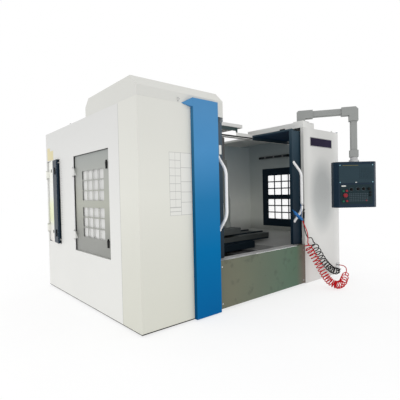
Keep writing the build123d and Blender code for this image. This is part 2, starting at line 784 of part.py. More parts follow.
def spindle():
    """Turning spindle: stepped nose, drive keys, and the taper socket for a tool holder."""
    body = rod((spindle_x, spindle_y, (nose_z + 30 + head_top - 30) / 2), spindle_r, head_top - 30 - nose_z - 30)
    body += rod((spindle_x, spindle_y, nose_z + 16), 45, 32)
    body -= rod((spindle_x, spindle_y, nose_z + 50), spindle_bore_r, 102)
    for side in (-1, 1):
        body += block((spindle_x + side * 36 - 8, spindle_x + side * 36 + 8), (spindle_y - 8, spindle_y + 8), (nose_z - 8, nose_z + 1))
    return body


def magazine_disc():
    """Tool disc with lightening holes and a ring of closed pots, each with its gripping groove."""
    body = rod((disc_x, disc_y, disc_z), disc_r - pot_r - 18, disc_thick, "X")
    body += rod((disc_x + 30, disc_y, disc_z), 60, disc_thick + 50, "X")
    body -= rod((disc_x + 40, disc_y, disc_z), axle_r + 0.05, 200, "X")
    for index in range(6):
        turn = math.radians(60 * index + 30)
        body -= rod((disc_x, disc_y + 165 * math.cos(turn), disc_z + 165 * math.sin(turn)), 52, disc_thick + 40, "X")
    half = pot_length / 2
    profile = [(0, -half), (pot_r - 6, -half), (pot_r, -half + 6), (pot_r, half), (pot_r - 9, half), (pot_r - 9, half + 8),
               (pot_r - 3, half + 14), (pot_r - 3, half + 20), (0, half + 20)]
    pot = revolve(make_face(Polyline(*[(r, z, 0) for r, z in profile], close=True)), Axis.Y)
    pot = Rot(0, 0, 90) * pot
    for index in range(pot_count):
        turn = 2 * math.pi * index / pot_count
        reach = disc_r - pot_r
        body += Pos(disc_x, disc_y + reach * math.cos(turn), disc_z + reach * math.sin(turn)) * pot
    return body


def tool_arm():
    """Double-ended change arm with a gripper notch at each end, parked along Y."""
    body = block((arm_axis_x - arm_width / 2, arm_axis_x + arm_width / 2), (spindle_y - arm_half, spindle_y + arm_half),
                 (arm_z, arm_z + arm_thick))
    body = fillet(body.edges().filter_by(Axis.Z), 20)
    for end in (-1, 1):
        tip = spindle_y + end * (arm_half - 10)
        body -= rod((arm_axis_x, tip, arm_z + arm_thick / 2), 32, arm_thick + 2)
    body += rod((arm_axis_x, spindle_y, arm_z + (arm_thick + arm_hub_rise) / 2), 52, arm_thick + arm_hub_rise)
    return body


def arm_frame():
    """Plane at the arm's base, with its X axis along the horizontal tube."""
    direction = Vector(arm_swing_end[0] - arm_base[0], arm_swing_end[1] - arm_base[1], 0)
    return Plane(origin=(arm_base[0], arm_base[1], arm_axis_z), x_dir=direction, z_dir=(0, 0, 1)), direction.length


def square_tube(length, size, corner=14):
    """A rounded square tube along local X, from 0 to length."""
    outer = extrude(Plane.YZ * RectangleRounded(size, size, corner), length)
    inner = extrude(Plane.YZ * RectangleRounded(size - 8, size - 8, corner - 4), length)
    return outer - inner


def arm_elbows():
    """Two cast elbows, the base swivel and the lower collar."""
    frame, reach = arm_frame()
    half = elbow_size / 2
    base_low = trunk_top + flange_plate[1] - arm_axis_z
    outline = [(-half, base_low), (half, base_low), (half, -half + 4), (half + 95, -half + 4), (half + 95, half),
               (-half + 22, half), (-half, half - 22)]
    base = extrude(make_face(Plane.XZ * Polyline(*outline, close=True)), half, both=True)
    far_outline = [(reach - half - 90, -half + 4), (reach - half, -half + 4), (reach - half, -half - 70), (reach + half, -half - 70),
                   (reach + half, half - 30), (reach + half - 30, half), (reach - half - 90, half)]
    far = extrude(make_face(Plane.XZ * Polyline(*far_outline, close=True)), half, both=True)
    return [frame * base, frame * far]


def arm_tubes():
    """Horizontal arm tube and the drop tube, butted into the elbows, with the collar on the drop tube."""
    frame, reach = arm_frame()
    half = elbow_size / 2
    across = Pos(half + 95 + clear, 0, 2) * square_tube(reach - 2 * half - 185 - 2 * clear, arm_section)
    drop_low = box_bottom + box_height + collar_height - 1 + clear - arm_axis_z
    drop_high = -half - 70 - clear
    drop = Pos(reach, 0, drop_high) * Rot(0, 90, 0) * square_tube(drop_high - drop_low, arm_section)
    sleeve = Pos(reach, 0, drop_low + 45) * (Box(100, 100, 84) - Box(arm_section + 1, arm_section + 1, 90))
    bridge = Pos(reach, 0, drop_low + 8) * (Box(100, 100, 14) - Box(arm_section - 10, arm_section - 10, 20))
    return [frame * across, frame * (drop + sleeve + bridge)]


def box_frame():
    """Plane on the operator box's front face, centred on its width at its bottom edge, X to the right."""
    turn = math.radians(box_turn)
    facing = Vector(math.sin(turn), -math.cos(turn), 0)
    centre = Vector(arm_swing_end[0], arm_swing_end[1], box_bottom) + facing * 62
    right = Vector(math.cos(turn), math.sin(turn), 0)
    return Plane(origin=centre, x_dir=right, z_dir=(0, 0, 1))


def operator_box():
    """Bevelled sheet-metal box with a swivel collar; local Y points away from the operator."""
    half = box_width / 2
    outline = [(-half, box_bevel), (-half + box_bevel, 0), (half - box_bevel, 0), (half, box_bevel), (half, box_depth),
               (-half, box_depth)]
    body = extrude(make_face(Polyline(*outline, close=True)), box_height)
    inner = [(-half + 2, box_bevel + 1), (-half + box_bevel + 1, 2), (half - box_bevel - 1, 2), (half - 2, box_bevel + 1),
             (half - 2, box_depth - 2), (-half + 2, box_depth - 2)]
    body -= Pos(0, 0, 2) * extrude(make_face(Polyline(*inner, close=True)), box_height - 4)
    body += Pos(0, 62, box_height + collar_height / 2 - 1) * Cylinder(collar_r, collar_height)
    body += Pos(0, 62, box_height + 12) * Cylinder(collar_r + 14, 24)
    return box_frame() * (body - control_holes())


def control_holes():
    """Cutters for the holes that the controls' stems pass through."""
    return [Pos(x, 0, z) * Rot(90, 0, 0) * Cylinder(stem_r + stem_clear, 12) for _, x, z, _ in controls]


def control_place(dx, dz):
    """A place on the lower plate, from its left edge and its top edge."""
    return (-lower_size[0] / 2 + dx, box_height - lower_drop - dz)


controls = [
    ("cycle_start", *control_place(32, 78), "button"),
    ("feed_hold", *control_place(74, 76), "button"),
    ("emergency_stop", *control_place(54, 132), "stop"),
    ("power_on", *control_place(32, 205), "button"),
    ("power_off", *control_place(74, 203), "button"),
    ("mode_knob", *control_place(134, 58), "knob"),
    ("feed_knob", *control_place(218, 54), "knob"),
    ("speed_knob", *control_place(287, 54), "knob"),
]


def front_bezel():
    """Upper bezel with the screen recess and a raised key field."""
    across, up = bezel_size
    centre_z = box_height - bezel_drop - up / 2
    body = Pos(0, -plate_thick / 2, centre_z) * Box(across, plate_thick, up)
    body = fillet(body.edges().filter_by(Axis.Y), 8)
    body -= Pos(-64, -plate_thick, centre_z) * Box(screen_size[0], 4, screen_size[1])
    for column_index in range(6):
        for row in range(6):
            x = 70 + 24 * column_index
            z = centre_z + 62 - 24 * row
            body += Pos(x, -plate_thick - 1, z) * Box(17, 2.4, 17)
    return box_frame() * body


def operator_panel():
    """Lower plate with the control holes, two small switches and a key barrel."""
    across, up = lower_size
    centre_z = box_height - lower_drop - up / 2
    body = Pos(0, -1.5, centre_z) * Box(across, 3, up)
    body = fillet(body.edges().filter_by(Axis.Y), 8)
    body -= control_holes()
    for x, z in (control_place(352, 56), control_place(370, 100), control_place(370, 136)):
        body += Pos(x, -8, z) * Rot(90, 0, 0) * Cylinder(10, 12)
    return box_frame() * body


def control_piece(x, z, style):
    """One control: a push button, the mushroom stop or a pointer knob, with its stem through the plate."""
    stem = Pos(x, -4, z) * Rot(90, 0, 0) * Cylinder(stem_r, 14)
    face = -3 - clear
    if style == "button":
        body = stem + Pos(x, face - button_travel - button_proud / 2, z) * Rot(90, 0, 0) * Cylinder(button_r, button_proud)
        return body + Pos(x, face - button_travel / 2, z) * Rot(90, 0, 0) * Cylinder(stem_r, button_travel + 2)
    if style == "stop":
        dome = Pos(x, face - 22, z) * Rot(90, 0, 0) * Cylinder(stop_r, 18)
        dome = chamfer(dome.edges().group_by(Axis.Y)[0], 6)
        return stem + dome + Pos(x, face - 12, z) * Rot(90, 0, 0) * Cylinder(13, 12)
    knob = Pos(x, face - knob_height / 2, z) * Rot(90, 0, 0) * Cylinder(knob_r, knob_height)
    knob -= Pos(x - knob_r, face - knob_height, z) * Box(knob_r * 1.3, 24, knob_r * 3)
    knob -= Pos(x + knob_r, face - knob_height, z) * Box(knob_r * 1.3, 24, knob_r * 3)
    return stem + knob


def pendant_flange():
    """Swivel flange on the cable trunk."""
    size, thick = flange_plate
    body = Pos(*arm_base, trunk_top + (thick - clear) / 2) * Box(size, size, thick - clear)
    return fillet(body.edges().filter_by(Axis.Z), 12)


def hanging_ring(x, z):
    """Open ring round the right handle's grip, that a gun hangs by."""
    grip_y = door_face_y - handle_reach
    bore = handle_dia / 2 + clear
    ring = Pos(x, grip_y, z) * (Cylinder(bore + 4.5, 8) - Cylinder(bore, 9))
    return ring - block((x - 7, x + 7), (grip_y, grip_y + 40), (z - 5, z + 5))


def air_gun():
    """Blow gun: body, thin nozzle, finger slot, hose tail and the hook round the handle."""
    frame, length = gun_frame()
    outline = [(0, -11), (0, 13), (length * 0.62, 18), (length * 0.78, 24), (length * 0.9, 12), (length, 6), (length, -4),
               (length * 0.7, -10)]
    body = extrude(make_face(Polyline(*outline, close=True)), 9, both=True)
    body = fillet(body.edges().filter_by(Axis.Z), 2.5)
    body -= Pos(length * 0.52, 15, 0) * Box(48, 16, 6.8)
    body += Pos(length + 16, 1, 0) * Rot(0, 90, 0) * Cylinder(3, 36)
    body = frame * body
    tail = Vector(*gun_tail)
    start = Vector(*red_lead[0])
    along = (start - tail).normalized()
    stub = (start - tail).length - clear
    body += Plane(origin=tail + along * (stub / 2 - 3), z_dir=along) * Cylinder(8, stub + 6)
    grip_y = door_face_y - handle_reach
    hook = [(gun_tail[0] - 20, gun_tail[1], gun_tail[2] + 20), (gun_tail[0] - 4, gun_tail[1] + 8, 940),
            (gun_hook_x - handle_dia / 2 - 4, grip_y, gun_hook_z)]
    return body + tube_along(hook, 2.5, [30]) + hanging_ring(gun_hook_x, gun_hook_z)


def gun_frame():
    """Plane at the gun's tail, with its X axis along the nozzle and Z across the body."""
    path = Vector(*gun_nose) - Vector(*gun_tail)
    return Plane(origin=gun_tail, x_dir=path, z_dir=(0, -1, 0)), path.length


def air_gun_trigger():
    """Lever in the gun's back, with its pivot end inside the slot."""
    frame, length = gun_frame()
    lever = Pos(length * 0.46, 27, 0) * Box(60, 4, 6)
    lever += Pos(length * 0.52 + 14, 19, 0) * Box(8, 16, 6)
    return frame * lever


def coolant_gun():
    """Black wash gun that hangs beside the handle: barrel, lance, valve knob and hanging ring."""
    start, second = Vector(*black_lead[0]), Vector(*black_lead[1])
    up = (start - second).normalized()
    frame = Plane(origin=start + up * clear, z_dir=up)
    body = frame * (Pos(0, 0, 40) * Cylinder(12, 80))
    body += frame * (Pos(0, 0, 92) * Cylinder(7, 40))
    knob = start + up * 110
    body += Pos(knob.X, knob.Y, knob.Z) * Sphere(13)
    ring_z = gun_hook_z - 16
    body += block((gun_hook_x + handle_dia / 2 + 3, knob.X + 3), (-52, -44), (ring_z - 4, ring_z + 4))
    body += block((knob.X - 3, knob.X + 3), (-52, -44), (knob.Z, ring_z + 4))
    return body + hanging_ring(gun_hook_x, ring_z)


def onward(points, reach):
    """The point that carries a route's last run straight on."""
    before, last = Vector(*points[-2]), Vector(*points[-1])
    return tuple(last + (last - before).normalized() * reach)


gun_nose = (right_door_edge - 179, -80, 969)
gun_tail = (right_door_edge - 9, -80, 856)
gun_hook_x = right_door_edge + handle_inset_right
gun_hook_z = 1050
red_lead = [(2262, -80, 844), (2276, -80, 822), (2308, -78, 776), (2352, -75, 722), (2384, -72, 660), (2390, -71, 596),
            (2384, -70, 545)]
black_lead = [(2338, -48, 864), (2336, -48, 818), (2338, -49, 766), (2354, -51, 712), (2378, -54, 656), (2428, -57, 612), (2492, -58, 588),
              (2532, -58, 545)]
red_coil = [red_lead[-1], onward(red_lead, 40), (2420, -88, 430), (2455, -122, 345), (2468, -180, 235), (2468, -262, 140),
            (2478, -352, 76), (2530, -410, 52), (2660, -395, 51), (2810, -325, 51), (2960, -262, 51), (3080, -212, 56),
            (3150, -180, 80)]
black_coil = [black_lead[-1], onward(black_lead, 40), (2600, -59, 448), (2665, -58, 376), (2740, -58, 290), (2830, -59, 210),
              (2930, -58, 145), (3030, -59, 105), (3120, -58, 92)]
red_tail = [red_coil[-1], onward(red_coil, 30), (3214, -144, 122), (3238, -98, 136), (3242, -64, 138), (3242, -30, 138)]
black_tail = [black_coil[-1], onward(black_coil, 30), (3184, -50, 84), (3206, -50, 84)]


def coil_tube(points):
    """The outer form of one coiled stretch: a fat tube along its route."""
    return tube_along(points, coil_r, arc_radii(points))


def hose_stretch(points):
    """One uncoiled stretch of hose."""
    return tube_along(points, hose_r, arc_radii(points))


def hose_bulkhead():
    """Plate at the foot of the right panel with a straight and an elbow hose fitting."""
    body = block((width - 104, width - 10), (-6 - clear, -clear), (56, 168))
    x, y, z = red_tail[-1]
    body += rod((x, (y + clear - 6) / 2, z), 11, -y - 6 - clear, "Y")
    x, y, z = black_tail[-1]
    body += rod((x + clear + 14, y, z), 11, 28, "X")
    body += rod((x + clear + 17, (y - 6) / 2, z), 11, -y - 6, "Y")
    return body


def report_radii():
    """Prints each hose's arc radii, so that no bend is too tight."""
    for name, points in (("red lead", red_lead), ("red tail", red_tail), ("black lead", black_lead),
                         ("black tail", black_tail), ("red coil", red_coil), ("black coil", black_coil)):
        print(name, [round(radius) for radius in arc_radii(points)])


def main():
    """Builds and writes every node."""
    os.makedirs("parts", exist_ok=True)
    place("machine_base", machine_base())
    place("levelling_feet", levelling_feet())
    place("column", column())
    place("left_side_panel", left_side_panel())
    place("front_left_panel", front_left_panel())
    place("blue_pillar", blue_pillar())
    place("front_apron", front_apron())
    place("right_front_panel", right_front_panel())
    place("right_side_panel", right_side_panel())
    place("right_window_panel", right_window_panel())
    place("right_window_pane", window_pane(width - 18 - pane_thick, right_window_y, right_window_z, sheet + 2 * clear))
    place("rear_cabinet", rear_cabinet())
    place("roof_hood", roof_hood())
    place("roof_cover", roof_cover())
    place("door_rails", door_rails())
    place("right_roof", right_roof())
    place("chip_pans", chip_pans())
    place("work_lamp", work_lamp())
    place("pendant_flange", pendant_flange())
    place("hose_bulkhead", hose_bulkhead())
    for name, leading, side, inset in (("left_door", left_door_edge, -1, handle_inset_left),
                                       ("right_door", right_door_edge, 1, handle_inset_right)):
        place(name, door(leading, side))
        place(f"{name}_window", door_pane(leading, side))
        place(f"{name}_handle", door_handle(leading + side * inset))
    place("left_window_door", window_leaf())
    place("left_window_pane", left_pane())
    for name, z in zip(("upper", "lower"), window_latch_z):
        place(f"window_latch_{name}", latch(latch_centre(window_y, z)))
    place("rear_access_door", swing(access_leaf(), access_ajar))
    for name, z in zip(("upper", "lower"), access_latch_z):
        place(f"access_latch_{name}", swing(latch(latch_centre(access_y, z)), access_ajar))
    place("saddle", saddle())
    place("saddle_cover", saddle_cover())
    place("table", table())
    place("spindle_head", spindle_head())
    place("spindle", spindle())
    place("magazine_disc", magazine_disc())
    place("tool_arm", tool_arm())
    place("arm_elbows", arm_elbows())
    place("arm_tubes", arm_tubes())
    place("operator_box", operator_box())
    place("front_bezel", front_bezel())
    place("operator_panel", operator_panel())
    for name, x, z, style in controls:
        place(name, box_frame() * control_piece(x, z, style))
    place("air_gun", air_gun())
    place("air_gun_trigger", air_gun_trigger())
    place("coolant_gun", coolant_gun())
    place("red_hose", [hose_stretch(red_lead), hose_stretch(red_tail)])
    place("black_hose", [hose_stretch(black_lead), hose_stretch(black_tail)])
    place("red_coil", coil_tube(red_coil))
    place("black_coil", coil_tube(black_coil))
    report_radii()


if __name__ == "__main__":
    main()
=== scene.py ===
"""Looks of a vertical machining center: coiled hoses, finishes, fittings and soft studio light.

Lengths are metres in the row's frame: +X across the front, +Y to the back, +Z up, from the floor.
"""

import json
import logging
import math
from dataclasses import dataclass, field
from enum import Enum

import bpy
import numpy as np
from mathutils import Matrix, Vector

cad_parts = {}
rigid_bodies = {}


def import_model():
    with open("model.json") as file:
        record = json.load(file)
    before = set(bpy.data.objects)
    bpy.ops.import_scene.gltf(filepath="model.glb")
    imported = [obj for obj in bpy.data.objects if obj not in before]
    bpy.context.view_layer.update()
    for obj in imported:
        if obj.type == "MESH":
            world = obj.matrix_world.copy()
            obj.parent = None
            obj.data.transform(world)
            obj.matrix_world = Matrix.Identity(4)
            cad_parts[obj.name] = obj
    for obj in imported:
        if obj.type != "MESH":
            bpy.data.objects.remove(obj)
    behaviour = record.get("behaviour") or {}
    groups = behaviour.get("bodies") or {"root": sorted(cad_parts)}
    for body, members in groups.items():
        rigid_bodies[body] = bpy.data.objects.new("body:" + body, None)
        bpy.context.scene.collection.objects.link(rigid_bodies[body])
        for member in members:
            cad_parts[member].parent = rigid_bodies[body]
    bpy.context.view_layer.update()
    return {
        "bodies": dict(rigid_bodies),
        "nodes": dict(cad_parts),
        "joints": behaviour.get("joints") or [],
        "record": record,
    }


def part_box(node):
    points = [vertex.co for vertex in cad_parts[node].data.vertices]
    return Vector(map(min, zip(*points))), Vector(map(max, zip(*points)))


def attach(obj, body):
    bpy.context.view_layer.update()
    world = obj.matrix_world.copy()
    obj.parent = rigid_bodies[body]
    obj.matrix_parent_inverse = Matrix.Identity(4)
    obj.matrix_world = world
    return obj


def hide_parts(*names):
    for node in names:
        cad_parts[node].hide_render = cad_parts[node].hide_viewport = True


log = logging.getLogger("machining_center")
ANCHOR = np.array((1650.0, 1400.0, 0.0))
# The painted reflection on the right panel, a soft grey oval: its middle (x, z), its narrowness each way and
# its colour.
REFLECTION_PLACE = (1.22, 1.14)
REFLECTION_SCALE = (2.9, 1.8)
REFLECTION_GREY = (0.4, 0.425, 0.42)
SMUDGE = (0.03, 0.035, 0.03)

Triple = tuple[float, float, float]
Part = tuple[np.ndarray, list]
Thing = bpy.types.Object
Tree = bpy.types.NodeTree
Socket = bpy.types.NodeSocket


def shop(x: float, y: float, z: float) -> np.ndarray:
    """Turns a station in millimetres, from the left side, the front and the floor, to the row's metres."""
    return (np.array((x, y, z), float) - ANCHOR) / 1000.0


class Grain(Enum):
    """How far the noise of a finish's relief is stretched along each axis."""

    EVEN = (1.0, 1.0, 1.0)
    BRUSHED = (0.02, 0.02, 1.0)


@dataclass(frozen=True)
class Fade:
    """A colour that changes along one axis of the row.

    Attributes:
        axis: 0, 1 or 2.
        stops: pairs of a station in metres and a linear colour, in rising order.
    """

    axis: int
    stops: tuple[tuple[float, Triple], ...]


@dataclass(frozen=True)
class Finish:
    """One procedural finish.

    Attributes:
        name: its material's name.
        colour: linear base colour.
        tint: linear colour that soft patches lean to.
        blend: share of the tint, from 0 to 1.
        rough: roughness.
        metal: metallic share.
        coat: clear coat weight.
        grain: the stretch of the relief's noise.
        scale: size of the relief's noise, per metre.
        bump: strength of the relief.
        glow: emission strength.
        clear: transmission weight.
        grime: share of dark smudges.
        shine: specular level, 0.5 for a usual surface.
        fade: colours along an axis, in place of the single base colour.
        painted_reflection: True where a painted soft grey reflection lies on the right panel.
    """

    name: str
    colour: Triple
    tint: Triple = (0.5, 0.5, 0.5)
    blend: float = 0.0
    rough: float = 0.4
    metal: float = 0.0
    coat: float = 0.0
    grain: Grain = Grain.EVEN
    scale: float = 220.0
    bump: float = 0.04
    glow: float = 0.0
    clear: float = 0.0
    grime: float = 0.0
    shine: float = 0.5
    fade: Fade | None = None
    painted_reflection: bool = False


def grey(level: float, warm: float = 0.0) -> Triple:
    """A linear grey; a positive warm lowers its blue by that share."""
    return (level, level, level * (1.0 - warm))


# Painted light: the pillar's front blue grows lighter towards the top.
PILLAR_FADE = Fade(2, ((0.03, (0.0, 0.112, 0.315)), (0.65, (0.0, 0.148, 0.37)), (1.13, (0.018, 0.18, 0.4)),
                       (1.62, (0.075, 0.27, 0.53)), (2.05, (0.088, 0.26, 0.49))))
# Painted shade: a darker copy of the pillar blue for its side face, lighter towards the top.
PILLAR_SIDE_FADE = Fade(2, ((0.03, (0.0, 0.075, 0.2)), (1.0, (0.005, 0.095, 0.21)),
                            (1.6, (0.03, 0.14, 0.26)), (2.05, (0.05, 0.2, 0.38))))
# Painted light and shade on the white panels: the right panel lightens towards its right end, the left side
# darkens upwards, and the front is lightest a little above the middle.
RIGHT_FADE = Fade(0, ((0.78, grey(0.6, 0.04)), (0.9, grey(0.72, 0.03)), (1.25, grey(0.7, 0.03)),
                      (1.5, grey(0.68, 0.03)), (1.65, grey(0.76, 0.02))))
LEFT_FADE = Fade(2, ((0.0, grey(0.78, 0.04)), (0.9, grey(0.76, 0.03)), (1.5, grey(0.72, 0.02)),
                     (2.05, grey(0.66, 0.02))))
FRONT_FADE = Fade(2, ((0.0, grey(0.66, 0.12)), (0.6, grey(0.68, 0.1)), (1.2, grey(0.73, 0.08)),
                      (2.05, grey(0.68, 0.06))))
# Painted light on the left window's plate: lightest a little above the middle, darker at the foot and the
# top.
WINDOW_FADE = Fade(2, ((0.58, (0.26, 0.265, 0.245)), (0.8, (0.275, 0.28, 0.255)), (1.12, (0.4, 0.41, 0.35)),
                       (1.4, (0.38, 0.39, 0.36)), (1.67, (0.31, 0.33, 0.315))))
# Painted shade and light inside the machine: dark at the foot, lightest just above it, darker again towards
# the roof.
INNER_FADE = Fade(2, ((0.5, (0.16, 0.165, 0.155)), (0.75, (0.62, 0.64, 0.6)), (1.0, (0.62, 0.64, 0.6)),
                      (1.4, (0.42, 0.46, 0.45)), (2.0, (0.24, 0.29, 0.31))))
# Painted light on the right door's navy: lighter towards the top.
NAVY_FADE = Fade(2, ((0.55, (0.004, 0.014, 0.027)), (1.4, (0.009, 0.026, 0.042)),
                     (1.8, (0.022, 0.048, 0.07)), (2.0, (0.034, 0.062, 0.084))))
# Painted reflection: the apron's tone changes across its width, greener towards the right and reddish at the
# right end.
APRON_FADE = Fade(0, ((-0.6, (0.145, 0.145, 0.098)), (-0.1, (0.112, 0.14, 0.096)),
                      (0.35, (0.08, 0.148, 0.098)), (0.58, (0.066, 0.145, 0.09)),
                      (0.74, (0.145, 0.1, 0.082))))
# Painted light on the left door's navy: lighter towards the top.
POST_FADE = Fade(2, ((0.55, (0.006, 0.014, 0.022)), (1.15, (0.02, 0.042, 0.062)),
                     (1.5, (0.045, 0.07, 0.092)), (1.95, (0.085, 0.115, 0.145))))
VENT_FADE = Fade(2, ((0.615, (0.8, 0.76, 0.72)), (0.82, grey(0.82, 0.06)), (0.92, (0.8, 0.84, 0.52)),
                     (1.1, (0.84, 0.88, 0.58)), (1.22, grey(0.88, 0.04)), (1.675, grey(0.86, 0.08))))

# Copies of the one white paint with painted light and shade in their brightness: the hood and the right
# panel darker, the left side and the front graded by height.
WHITE = Finish("white", grey(0.74, 0.03), grey(0.68, 0.04), 0.25, 0.42)
SIDE_WHITE = Finish("side white", grey(0.7), grey(0.7, 0.03), 0.2, 0.45, shine=0.3, fade=LEFT_FADE)
FRONT_WHITE = Finish("front white", grey(0.7), grey(0.66, 0.08), 0.2, 0.45, shine=0.3, fade=FRONT_FADE)
HOOD_WHITE = Finish("hood white", grey(0.65, 0.05), grey(0.61, 0.06), 0.3, 0.5, shine=0.3)
VENT_WHITE = Finish("vent white", grey(0.8), grey(0.78, 0.04), 0.2, 0.45, shine=0.3, fade=VENT_FADE)
PANEL = Finish("panel", grey(0.72, 0.03), grey(0.68, 0.03), 0.3, 0.45, shine=0.3)
# Painted light and a painted reflection: the right panel's grey changes across its width and holds a soft
# grey oval.
RIGHT_PANEL = Finish("right panel", grey(0.6), grey(0.54, 0.04), 0.25, 0.35, shine=0.4, fade=RIGHT_FADE,
                     painted_reflection=True)
NAVY = Finish("navy", (0.005, 0.016, 0.03), (0.01, 0.024, 0.038), 0.2, 0.45, shine=0.15, fade=NAVY_FADE)
POST_NAVY = Finish("post navy", (0.01, 0.02, 0.03), (0.012, 0.026, 0.04), 0.15, 0.45, shine=0.15,
                   fade=POST_FADE)
# Painted light: a lighter copy of the box's navy for its top.
BOX_TOP = Finish("box top", (0.03, 0.06, 0.088), (0.04, 0.07, 0.095), 0.5, 0.42, shine=0.3)
# Also used as painted shade round and behind the rear access door.
BOX_NAVY = Finish("box navy", (0.007, 0.021, 0.04), (0.012, 0.03, 0.05), 0.5, 0.42, shine=0.18)
WINDOW_NAVY = Finish("window navy", (0.004, 0.016, 0.03), (0.008, 0.022, 0.036), 0.5, 0.5, shine=0.2)
BLUE = Finish("pillar blue", (0.02, 0.19, 0.45), (0.0, 0.15, 0.4), 0.12, 0.6, shine=0.04, fade=PILLAR_FADE)
# Painted shade: the pillar's side face in a darker copy of its blue.
SIDE_BLUE = Finish("pillar side", (0.02, 0.1, 0.2), (0.0, 0.08, 0.2), 0.1, 0.6, shine=0.04,
                   fade=PILLAR_SIDE_FADE)
APRON = Finish("apron", (0.112, 0.138, 0.096), (0.088, 0.112, 0.082), 0.4, 0.45, grime=0.45, shine=0.25,
               fade=APRON_FADE)
# Glows a little: painted light that lifts the shade on the inner wall.
GREY = Finish("grey", grey(0.5), (0.42, 0.44, 0.43), 0.25, 0.6, shine=0.25, fade=INNER_FADE, glow=0.07)
COLLAR_GREY = Finish("collar grey", grey(0.52), grey(0.44), 0.3, 0.5, shine=0.3)
ARM_GREY = Finish("arm grey", (0.31, 0.32, 0.31), (0.25, 0.26, 0.255), 0.3, 0.5, shine=0.3)
CASTING = Finish("casting", grey(0.11), grey(0.085), 0.4, 0.6, scale=90, bump=0.1, shine=0.3)
IRON = Finish("iron", (0.05, 0.058, 0.058), (0.068, 0.076, 0.074), 0.5, 0.55, scale=160, grime=0.3)
SADDLE_BLACK = Finish("saddle black", (0.004, 0.012, 0.02), (0.01, 0.018, 0.026), 0.5, 0.5, shine=0.15)
STAINLESS = Finish("stainless", grey(0.42), grey(0.34), 0.3, 0.35, 0.8, grain=Grain.BRUSHED, bump=0.03)
# Painted reflection: bright and dark patches on the stainless sill, with smudges.
LEDGE = Finish("ledge", grey(0.85), grey(0.16), 1.0, 0.3, grain=Grain.BRUSHED, bump=0.03, grime=0.9)
# Glows a little: painted light that lifts the shade in the chip pans.
INNER_STEEL = Finish("inner steel", grey(0.44), grey(0.38), 0.4, 0.55, grain=Grain.BRUSHED, bump=0.03,
                     shine=0.3, fade=INNER_FADE, glow=0.12)
SATIN_PLATE = Finish("satin plate", grey(0.5), grey(0.44), 0.2, 0.45, grain=Grain.BRUSHED, bump=0.03,
                     shine=0.3, fade=WINDOW_FADE)
BRIGHT = Finish("bright", grey(0.6), grey(0.48), 0.3, 0.26, 1.0, bump=0.0)
BLACK = Finish("black", grey(0.006), grey(0.012), 0.3, 0.5, scale=400, bump=0.03, shine=0.15)
# Black rubber for small dark parts, also used for the painted shade and shadow strips.
RUBBER_AND_SHADE = Finish("rubber and shade", grey(0.012), grey(0.025), 0.4, 0.65, scale=300, shine=0.15)
BLUE_PLASTIC = Finish("blue plastic", (0.004, 0.115, 0.36), (0.008, 0.14, 0.42), 0.3, 0.4, shine=0.2)
RED_PLASTIC = Finish("red", (0.25, 0.018, 0.028), (0.34, 0.05, 0.05), 0.3, 0.4, shine=0.2)
GREEN_PLASTIC = Finish("green", (0.01, 0.1, 0.06), (0.02, 0.15, 0.09), 0.3, 0.4, shine=0.2)
RED_HOSE = Finish("red_coiled_hose", (0.52, 0.002, 0.008), (0.62, 0.01, 0.012), 0.4, 0.5, shine=0.08)
BLACK_HOSE = Finish("black_coiled_hose", grey(0.002), grey(0.004), 0.3, 0.6, shine=0.03)
PANE = Finish("pane", grey(0.62, 0.02), grey(0.82, 0.02), 0.9, 0.4, shine=0.3)
# Glows: painted light of the bright surroundings seen through the right window's openings.
BRIGHT_PANE = Finish("bright pane", grey(0.8), grey(0.78), 0.5, 0.3, glow=1.05)
LAMP = Finish("lamp", (0.018, 0.026, 0.034), grey(0.04), 0.3, 0.35, shine=0.3)
LAMP_EDGE = Finish("lamp edge", grey(0.3), grey(0.22), 0.5, 0.4)
GLASS = Finish("glass", (0.8, 0.86, 0.88), (0.75, 0.8, 0.82), 0.2, 0.05, bump=0.0, clear=0.95)
SCREEN = Finish("screen", (0.03, 0.052, 0.078), (0.02, 0.04, 0.058), 0.7, 0.3, shine=0.25)
BEZEL = Finish("bezel", (0.02, 0.044, 0.058), (0.014, 0.034, 0.048), 0.5, 0.45, shine=0.2)
LOWER_PLATE = Finish("lower plate", (0.01, 0.026, 0.032), (0.016, 0.034, 0.042), 0.5, 0.5, shine=0.15)
LABEL = Finish("label", grey(0.74, 0.05), grey(0.68, 0.06), 0.4, 0.5, shine=0.3)
LABEL_RIM = Finish("label rim", grey(0.5, 0.04), grey(0.46, 0.03), 0.3, 0.6, shine=0.3)
SEAM = Finish("seam", grey(0.35, 0.03), grey(0.3), 0.3, 0.7, bump=0.0, shine=0.2)
NAMEPLATE = Finish("nameplate", (0.01, 0.009, 0.016), (0.03, 0.022, 0.06), 0.8, 0.6, shine=0.05)
NAME_EDGE = Finish("name edge", grey(0.35), grey(0.5), 0.5, 0.35, 0.7)
BEIGE = Finish("beige", (0.68, 0.6, 0.34), (0.72, 0.66, 0.44), 0.6, 0.5, shine=0.3)
HANDLE = Finish("handle", grey(0.86), grey(0.78), 0.4, 0.3, bump=0.0, coat=0.3)
ROOF_FOLD = Finish("roof fold", (0.045, 0.075, 0.075), (0.07, 0.09, 0.09), 0.5, 0.6, shine=0.2)
# Painted highlight: a near-white glowing line along the sill's edge.
SILL_HIGHLIGHT = Finish("sill highlight", grey(0.95), grey(0.85), 0.3, 0.3, glow=0.25)
# Painted shade: a darker, bluer copy of the navy for the underside of the right door's roof.
DEEP_NAVY = Finish("deep navy", (0.004, 0.03, 0.075), (0.005, 0.036, 0.085), 0.5, 0.6, shine=0.05)
